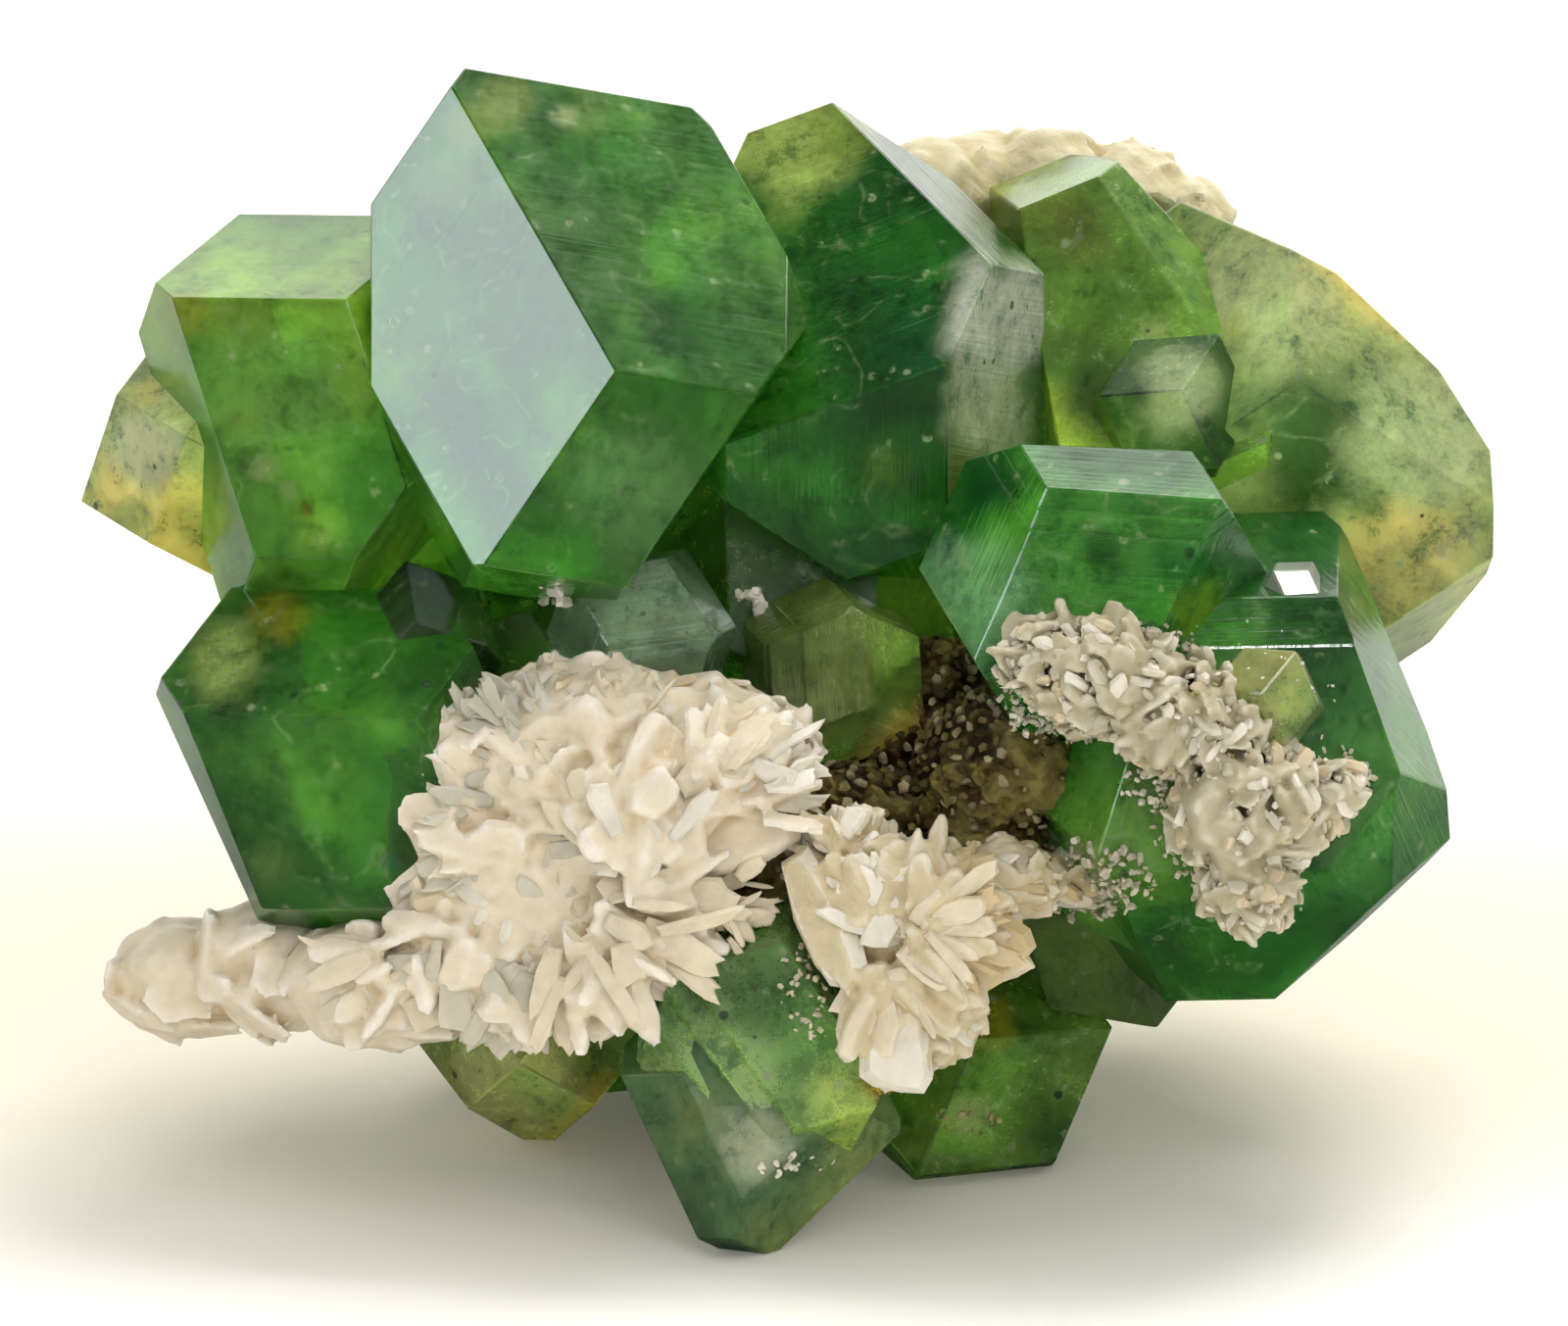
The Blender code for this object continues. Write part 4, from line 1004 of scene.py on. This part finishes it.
def softbox(name, way, distance, size, radiance, colour, mirrored):
    """A square light of that brightness, at a distance from the specimen, in a direction given as
    right, up and towards the camera. A mirrored one shows only in the crystals' faces, and the
    others light the scene without showing there."""
    place = AIM + (RIGHT * way[0] + UP * way[1] + BACK * way[2]).normalized() * distance
    data = bpy.data.lights.new(name, "AREA")
    data.size = size * MM
    data.energy = radiance * math.pi * (size * MM) ** 2
    data.color = colour
    lamp = placed(name, data)
    lamp.location = place * MM
    lamp.rotation_mode = "QUATERNION"
    lamp.rotation_quaternion = (AIM - place).to_track_quat("-Z", "Y")
    lamp.visible_glossy = mirrored
    lamp.visible_diffuse = not mirrored
    lamp.visible_camera = False


def add(tree, kind, inputs=None, **settings):
    """Adds a shader node. Each input is a plain value, or the output that feeds it."""
    made = tree.nodes.new("ShaderNode" + kind)
    for name, value in settings.items():
        setattr(made, name, value)
    for name, value in (inputs or {}).items():
        if isinstance(value, bpy.types.NodeSocket):
            tree.links.new(value, made.inputs[name])
        else:
            made.inputs[name].default_value = value
    return made


def sky():
    """White studio surroundings. What the crystals mirror is dark in front and bright behind them."""
    world = bpy.data.worlds.new("studio")
    bpy.context.scene.world = world
    world.use_nodes = True
    tree = world.node_tree
    tree.nodes.clear()
    way = add(tree, "TexCoord").outputs["Generated"]
    behind = add(tree, "VectorMath", {0: way, 1: -BACK}, operation="DOT_PRODUCT").outputs["Value"]
    height = add(tree, "SeparateXYZ", {0: way}).outputs["Z"]
    mirrored = add(tree, "MapRange", {"Value": behind, 1: 0.15, 2: 0.50, 3: 0.05, 4: 1.70}).outputs[0]
    all_round = add(tree, "MapRange", {"Value": height, 1: -0.30, 2: 0.70, 3: 0.50, 4: 0.70}).outputs[0]
    rays = add(tree, "LightPath").outputs
    glow = add(tree, "Mix", {0: rays["Is Glossy Ray"], 2: all_round, 3: mirrored}).outputs[0]
    glow = add(tree, "Mix", {0: rays["Is Transmission Ray"], 2: glow, 3: 0.95}).outputs[0]
    glow = add(tree, "Mix", {0: rays["Is Camera Ray"], 2: glow, 3: 1.0}).outputs[0]
    back = add(tree, "Background", {"Color": (1.0, 0.985, 0.96, 1.0), "Strength": glow})
    add(tree, "OutputWorld", {"Surface": back.outputs[0]})


def make_floor():
    """A wide flat sheet of pale paper with painted shade, darker and warmer, under the specimen; it glows
    faintly, painted light that lifts the shade.

    The crystals' faces show a painted reflection of it: a colour of its own for mirrored rays, dark in front
    of the specimen and pale behind.
    """
    shell = bmesh.new()
    bmesh.ops.create_circle(shell, cap_ends=True, radius=FLOOR_RADIUS * MM, segments=96)
    floor = placed("floor", mesh_of(shell, "floor"))
    floor.location.z = -FLOOR_GAP * MM
    material = bpy.data.materials.new("paper")
    material.use_nodes = True
    tree = material.node_tree
    shader = tree.nodes["Principled BSDF"]
    shader.inputs["Roughness"].default_value = 0.9
    shader.inputs["Specular IOR Level"].default_value = 0.1
    place = add(tree, "TexCoord").outputs["Object"]

    def blend(part, first, second):
        return add(tree, "Mix", {0: part, 6: first, 7: second}, data_type="RGBA").outputs[2]

    # Painted shade: the paper goes darker and warmer in a band round the specimen
    band = add(tree, "VectorMath", {0: place, 1: PAINTED_SHADE_MIDDLE}, operation="SUBTRACT").outputs[0]
    band = add(tree, "VectorMath", {0: band, 1: PAINTED_SHADE_SHAPE}, operation="MULTIPLY").outputs[0]
    far = add(tree, "VectorMath", {0: band}, operation="LENGTH").outputs["Value"]
    far = add(tree, "MapRange", {"Value": far, 1: 0.004, 2: 0.022}, interpolation_type="SMOOTHSTEP")
    pale = blend(far.outputs[0], PAINTED_SHADE_PAPER, PAPER)
    # Painted reflection: in the faces' mirrored rays the paper takes its own colour, dark in front and pale
    # behind
    depth = add(tree, "SeparateXYZ", {0: place}).outputs["Y"]
    behind = add(tree, "MapRange", {"Value": depth, 1: 0.0, 2: 0.03}).outputs[0]
    mirrored = blend(behind, DARK_PAINTED_REFLECTION, PALE_PAINTED_REFLECTION)
    rays = add(tree, "LightPath").outputs
    in_faces = add(tree, "Math", {0: rays["Is Glossy Ray"], 1: rays["Is Transmission Ray"]},
                   operation="SUBTRACT").outputs[0]
    seen = blend(in_faces, pale, mirrored)
    tree.links.new(seen, shader.inputs["Base Color"])
    # The paper glows faintly in the colour it shows: painted light that lifts the shade under the specimen
    # and lights the crystals from below
    tree.links.new(seen, shader.inputs["Emission Color"])
    shader.inputs["Emission Strength"].default_value = 0.10
    floor.data.materials.append(material)


make_camera()
sky()
make_floor()
softbox("window", way=(-0.815, 0.335, 0.472), distance=240.0, size=105.0, radiance=4.4,
        colour=(0.84, 0.92, 1.0), mirrored=True)
softbox("spark", way=(0.35, 0.55, 0.76), distance=240.0, size=45.0, radiance=30.0,
        colour=(1.0, 1.0, 1.0), mirrored=True)
softbox("ceiling", way=(0.22, 0.95, -0.08), distance=300.0, size=150.0, radiance=9.5,
        colour=(1.0, 0.99, 0.97), mirrored=False)
softbox("fill", way=(0.22, 0.30, 0.9), distance=300.0, size=200.0, radiance=1.6,
        colour=(1.0, 0.98, 0.95), mirrored=False)
bpy.context.scene.view_settings.view_transform = "Standard"
bpy.context.scene.cycles.max_bounces = 4
bpy.context.scene.cycles.transmission_bounces = 3
bpy.context.scene.cycles.use_adaptive_sampling = True
bpy.context.scene.cycles.adaptive_threshold = 0.08
bpy.context.scene.cycles.adaptive_min_samples = 12


def garnet_material():
    """Green garnet: cloudy see-through glass that takes up red and blue light.

    The mesh carries the colour zones, and how mottled, cloudy and lined each crystal is. Noise adds
    clouds; thin curved veils and flecks are pale, and a few specks are dark. Lines run along each
    face's own direction.
    """
    material = bpy.data.materials.new("green_garnet")
    material.use_nodes = True
    tree = material.node_tree
    shader = tree.nodes["Principled BSDF"]
    for name, value in {"Transmission Weight": 0.60, "IOR": INDEX, "Specular IOR Level": 0.50}.items():
        shader.inputs[name].default_value = value
    place = add(tree, "TexCoord").outputs["Object"]
    body = add(tree, "Attribute", attribute_name="body_colour").outputs["Color"]
    marks = add(tree, "Attribute", attribute_name="body_marks").outputs["Color"]
    marks = add(tree, "SeparateColor", {0: marks})
    mottled, frost, lined = marks.outputs[0], marks.outputs[1], marks.outputs[2]

    def noise(size, detail):
        return add(tree, "TexNoise", {"Vector": place, "Scale": 1.0 / (size * MM), "Detail": detail,
                                      "Roughness": 0.82}).outputs["Fac"]

    def span(value, low, high, start=0.0, end=1.0):
        return add(tree, "MapRange", {"Value": value, 1: low, 2: high, 3: start, 4: end}).outputs[0]

    def maths(operation, first, second):
        return add(tree, "Math", {0: first, 1: second}, operation=operation).outputs[0]

    def mixed(part, first, second, blend="MIX"):
        return add(tree, "Mix", {0: part, 6: first, 7: second}, data_type="RGBA", blend_type=blend).outputs[2]

    clouds = noise(0.70, 5.0)
    shade = span(clouds, 0.30, 0.72, 0.45, 1.65)
    shaded = add(tree, "VectorMath", {0: body, "Scale": shade}, operation="SCALE").outputs[0]
    colour = mixed(mottled, body, shaded)
    dim = maths("MULTIPLY", span(clouds, 0.46, 0.32), mottled)
    colour = mixed(dim, colour, (0.35, 0.62, 0.60, 1.0), "MULTIPLY")

    cells = add(tree, "TexVoronoi", {"Vector": place, "Scale": 1.0 / (0.30 * MM)})
    chances = add(tree, "SeparateColor", {0: cells.outputs["Color"]})

    def specks(chance, share, largest):
        reach = span(chance, 1.0 - share, 1.0, 0.0, largest)
        return span(maths("SUBTRACT", reach, cells.outputs["Distance"]), 0.0, 0.08)

    fracture = maths("ABSOLUTE", maths("SUBTRACT", noise(2.6, 2.0), 0.5), 0.0)
    veils = maths("MULTIPLY", span(fracture, 0.016, 0.0), span(clouds, 0.46, 0.62, 0.0, 0.55))
    flecks = maths("MULTIPLY", specks(chances.outputs[0], 0.38, 0.42), span(clouds, 0.47, 0.60))
    pale = maths("MULTIPLY", maths("MAXIMUM", veils, flecks), mottled)
    colour = mixed(pale, colour, (0.52, 0.65, 0.34, 1.0))
    dark = maths("MULTIPLY", specks(chances.outputs[1], 0.07, 0.36), mottled)
    colour = mixed(dark, colour, (0.015, 0.06, 0.02, 1.0))
    tree.links.new(colour, shader.inputs["Base Color"])

    face = add(tree, "Attribute", attribute_name="facet").outputs["Vector"]
    along = add(tree, "Mapping", {"Vector": face, "Scale": (0.16, 9.0, 1.0)}).outputs[0]
    lines = add(tree, "TexNoise", {"Vector": along, "Scale": 1.0, "Detail": 2.0, "Roughness": 0.65})
    lines = lines.outputs["Fac"]
    etched = maths("MULTIPLY", noise(0.30, 2.0), maths("MULTIPLY", frost, 1.6))
    height = maths("ADD", maths("MULTIPLY", lines, lined), etched)
    bump = add(tree, "Bump", {"Height": height, "Strength": 0.35, "Distance": 0.06 * MM}).outputs[0]
    tree.links.new(bump, shader.inputs["Normal"])
    rough = maths("ADD", maths("MULTIPLY", frost, 0.5), span(clouds, 0.3, 0.7, 0.10, 0.20))
    tree.links.new(rough, shader.inputs["Roughness"])
    absorb = add(tree, "VolumeAbsorption", {"Color": (0.50, 0.86, 0.34, 1.0), "Density": 110.0})
    tree.links.new(absorb.outputs[0], tree.nodes["Material Output"].inputs["Volume"])
    return material


def colour_zones(place, names, body):
    """The body colour with its zones: dark and light clouds a few millimetres wide, yellower where they
    are light, and the listed zones, which are round in the picture and fade at their rims."""
    cloud_part = layered(place, 2.6, 3)
    fine_part = layered(place + 40.0, 1.1, 9)
    shade = 0.62 + 0.85 * ramp(cloud_part, 0.28, 0.72)
    shade *= 0.82 + 0.36 * ramp(fine_part, 0.30, 0.70)
    colour = body * shade[:, None]
    warm = ramp(cloud_part + 0.3 * fine_part, 0.62, 0.85)
    colour *= 1.0 + warm[:, None] * np.array([0.85, 0.15, -0.1])
    spot = photo_place(place)
    wobble = 1.0 + 0.9 * (layered(place, 0.8, 21) - 0.5)
    for name, zones in ZONES.items():
        for x, y, radius, tint, strength in zones:
            near = np.hypot(spot[:, 0] - x, spot[:, 1] - y) * wobble
            part = strength * (1.0 - ramp(near, 0.45 * radius, 1.15 * radius)) * (names == name)
            colour = colour + (linear(tint) - colour) * part[:, None]
    return colour


def paint_garnet(mesh):
    """Writes what the garnet material reads at each corner: the crystal's colour and marks, and where
    the corner lies on its face, along and across the direction of the face's growth lines."""
    crystal_number, plane_number = facet_marks(mesh)
    corner_face = np.repeat(np.arange(len(mesh.polygons)), 3)
    which = crystal_number[corner_face]
    corner_point = values_of(mesh.loops, "vertex_index", 1, int)[:, 0]
    place = values_of(mesh.vertices, "co")[corner_point] / MM
    looks = [LOOKS.get(piece.name, USUAL) for piece in CRYSTALS]
    names = np.array([piece.name for piece in CRYSTALS])[which]
    rgba = np.ones((len(mesh.loops), 4))
    rgba[:, :3] = colour_zones(place, names, np.array([linear(look.colour) for look in looks])[which])
    marks = np.ones((len(mesh.loops), 4))
    marks[:, :3] = np.array([(look.mottle, look.frost, look.lines) for look in looks])[which]
    for name, values in (("body_colour", rgba), ("body_marks", marks)):
        layer = mesh.color_attributes.new(name, "FLOAT_COLOR", "CORNER")
        layer.data.foreach_set("color", values.ravel())
    facet = np.zeros((len(mesh.loops), 3))
    for k, piece in enumerate(CRYSTALS):
        along, across = line_directions(piece)
        here = which == k
        plane = plane_number[corner_face[here]]
        facet[here, 0] = (place[here] * along[plane]).sum(axis=1)
        facet[here, 1] = (place[here] * across[plane]).sum(axis=1)
        facet[here, 2] = k * 7.0 + plane * 1.3
    layer = mesh.attributes.new("facet", "FLOAT_VECTOR", "CORNER")
    layer.data.foreach_set("vector", facet.ravel())


def line_directions(piece):
    """For each plane of the crystal, the direction of its growth lines, one of the dodecahedron's edges
    that lie in the face, and the direction across them."""
    normals, _ = planes_of(piece)
    turn = np.array(Euler([math.radians(a) for a in piece.turn], "XYZ").to_matrix())
    edges = np.array([(1, 1, 1), (1, 1, -1), (1, -1, 1), (-1, 1, 1)]) @ turn.T / math.sqrt(3.0)
    flat = np.abs(normals @ edges.T)
    along = edges[flat.argmin(axis=1)]
    along = along - normals * (along * normals).sum(axis=1)[:, None]
    along /= np.linalg.norm(along, axis=1)[:, None]
    return along, np.cross(normals, along)


garnet = garnet_piece()
paint_garnet(garnet.data)
garnet.data.materials.append(garnet_material())
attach(garnet, "root")
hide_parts("andradite_crystals")
make_white_mineral()
make_rock()
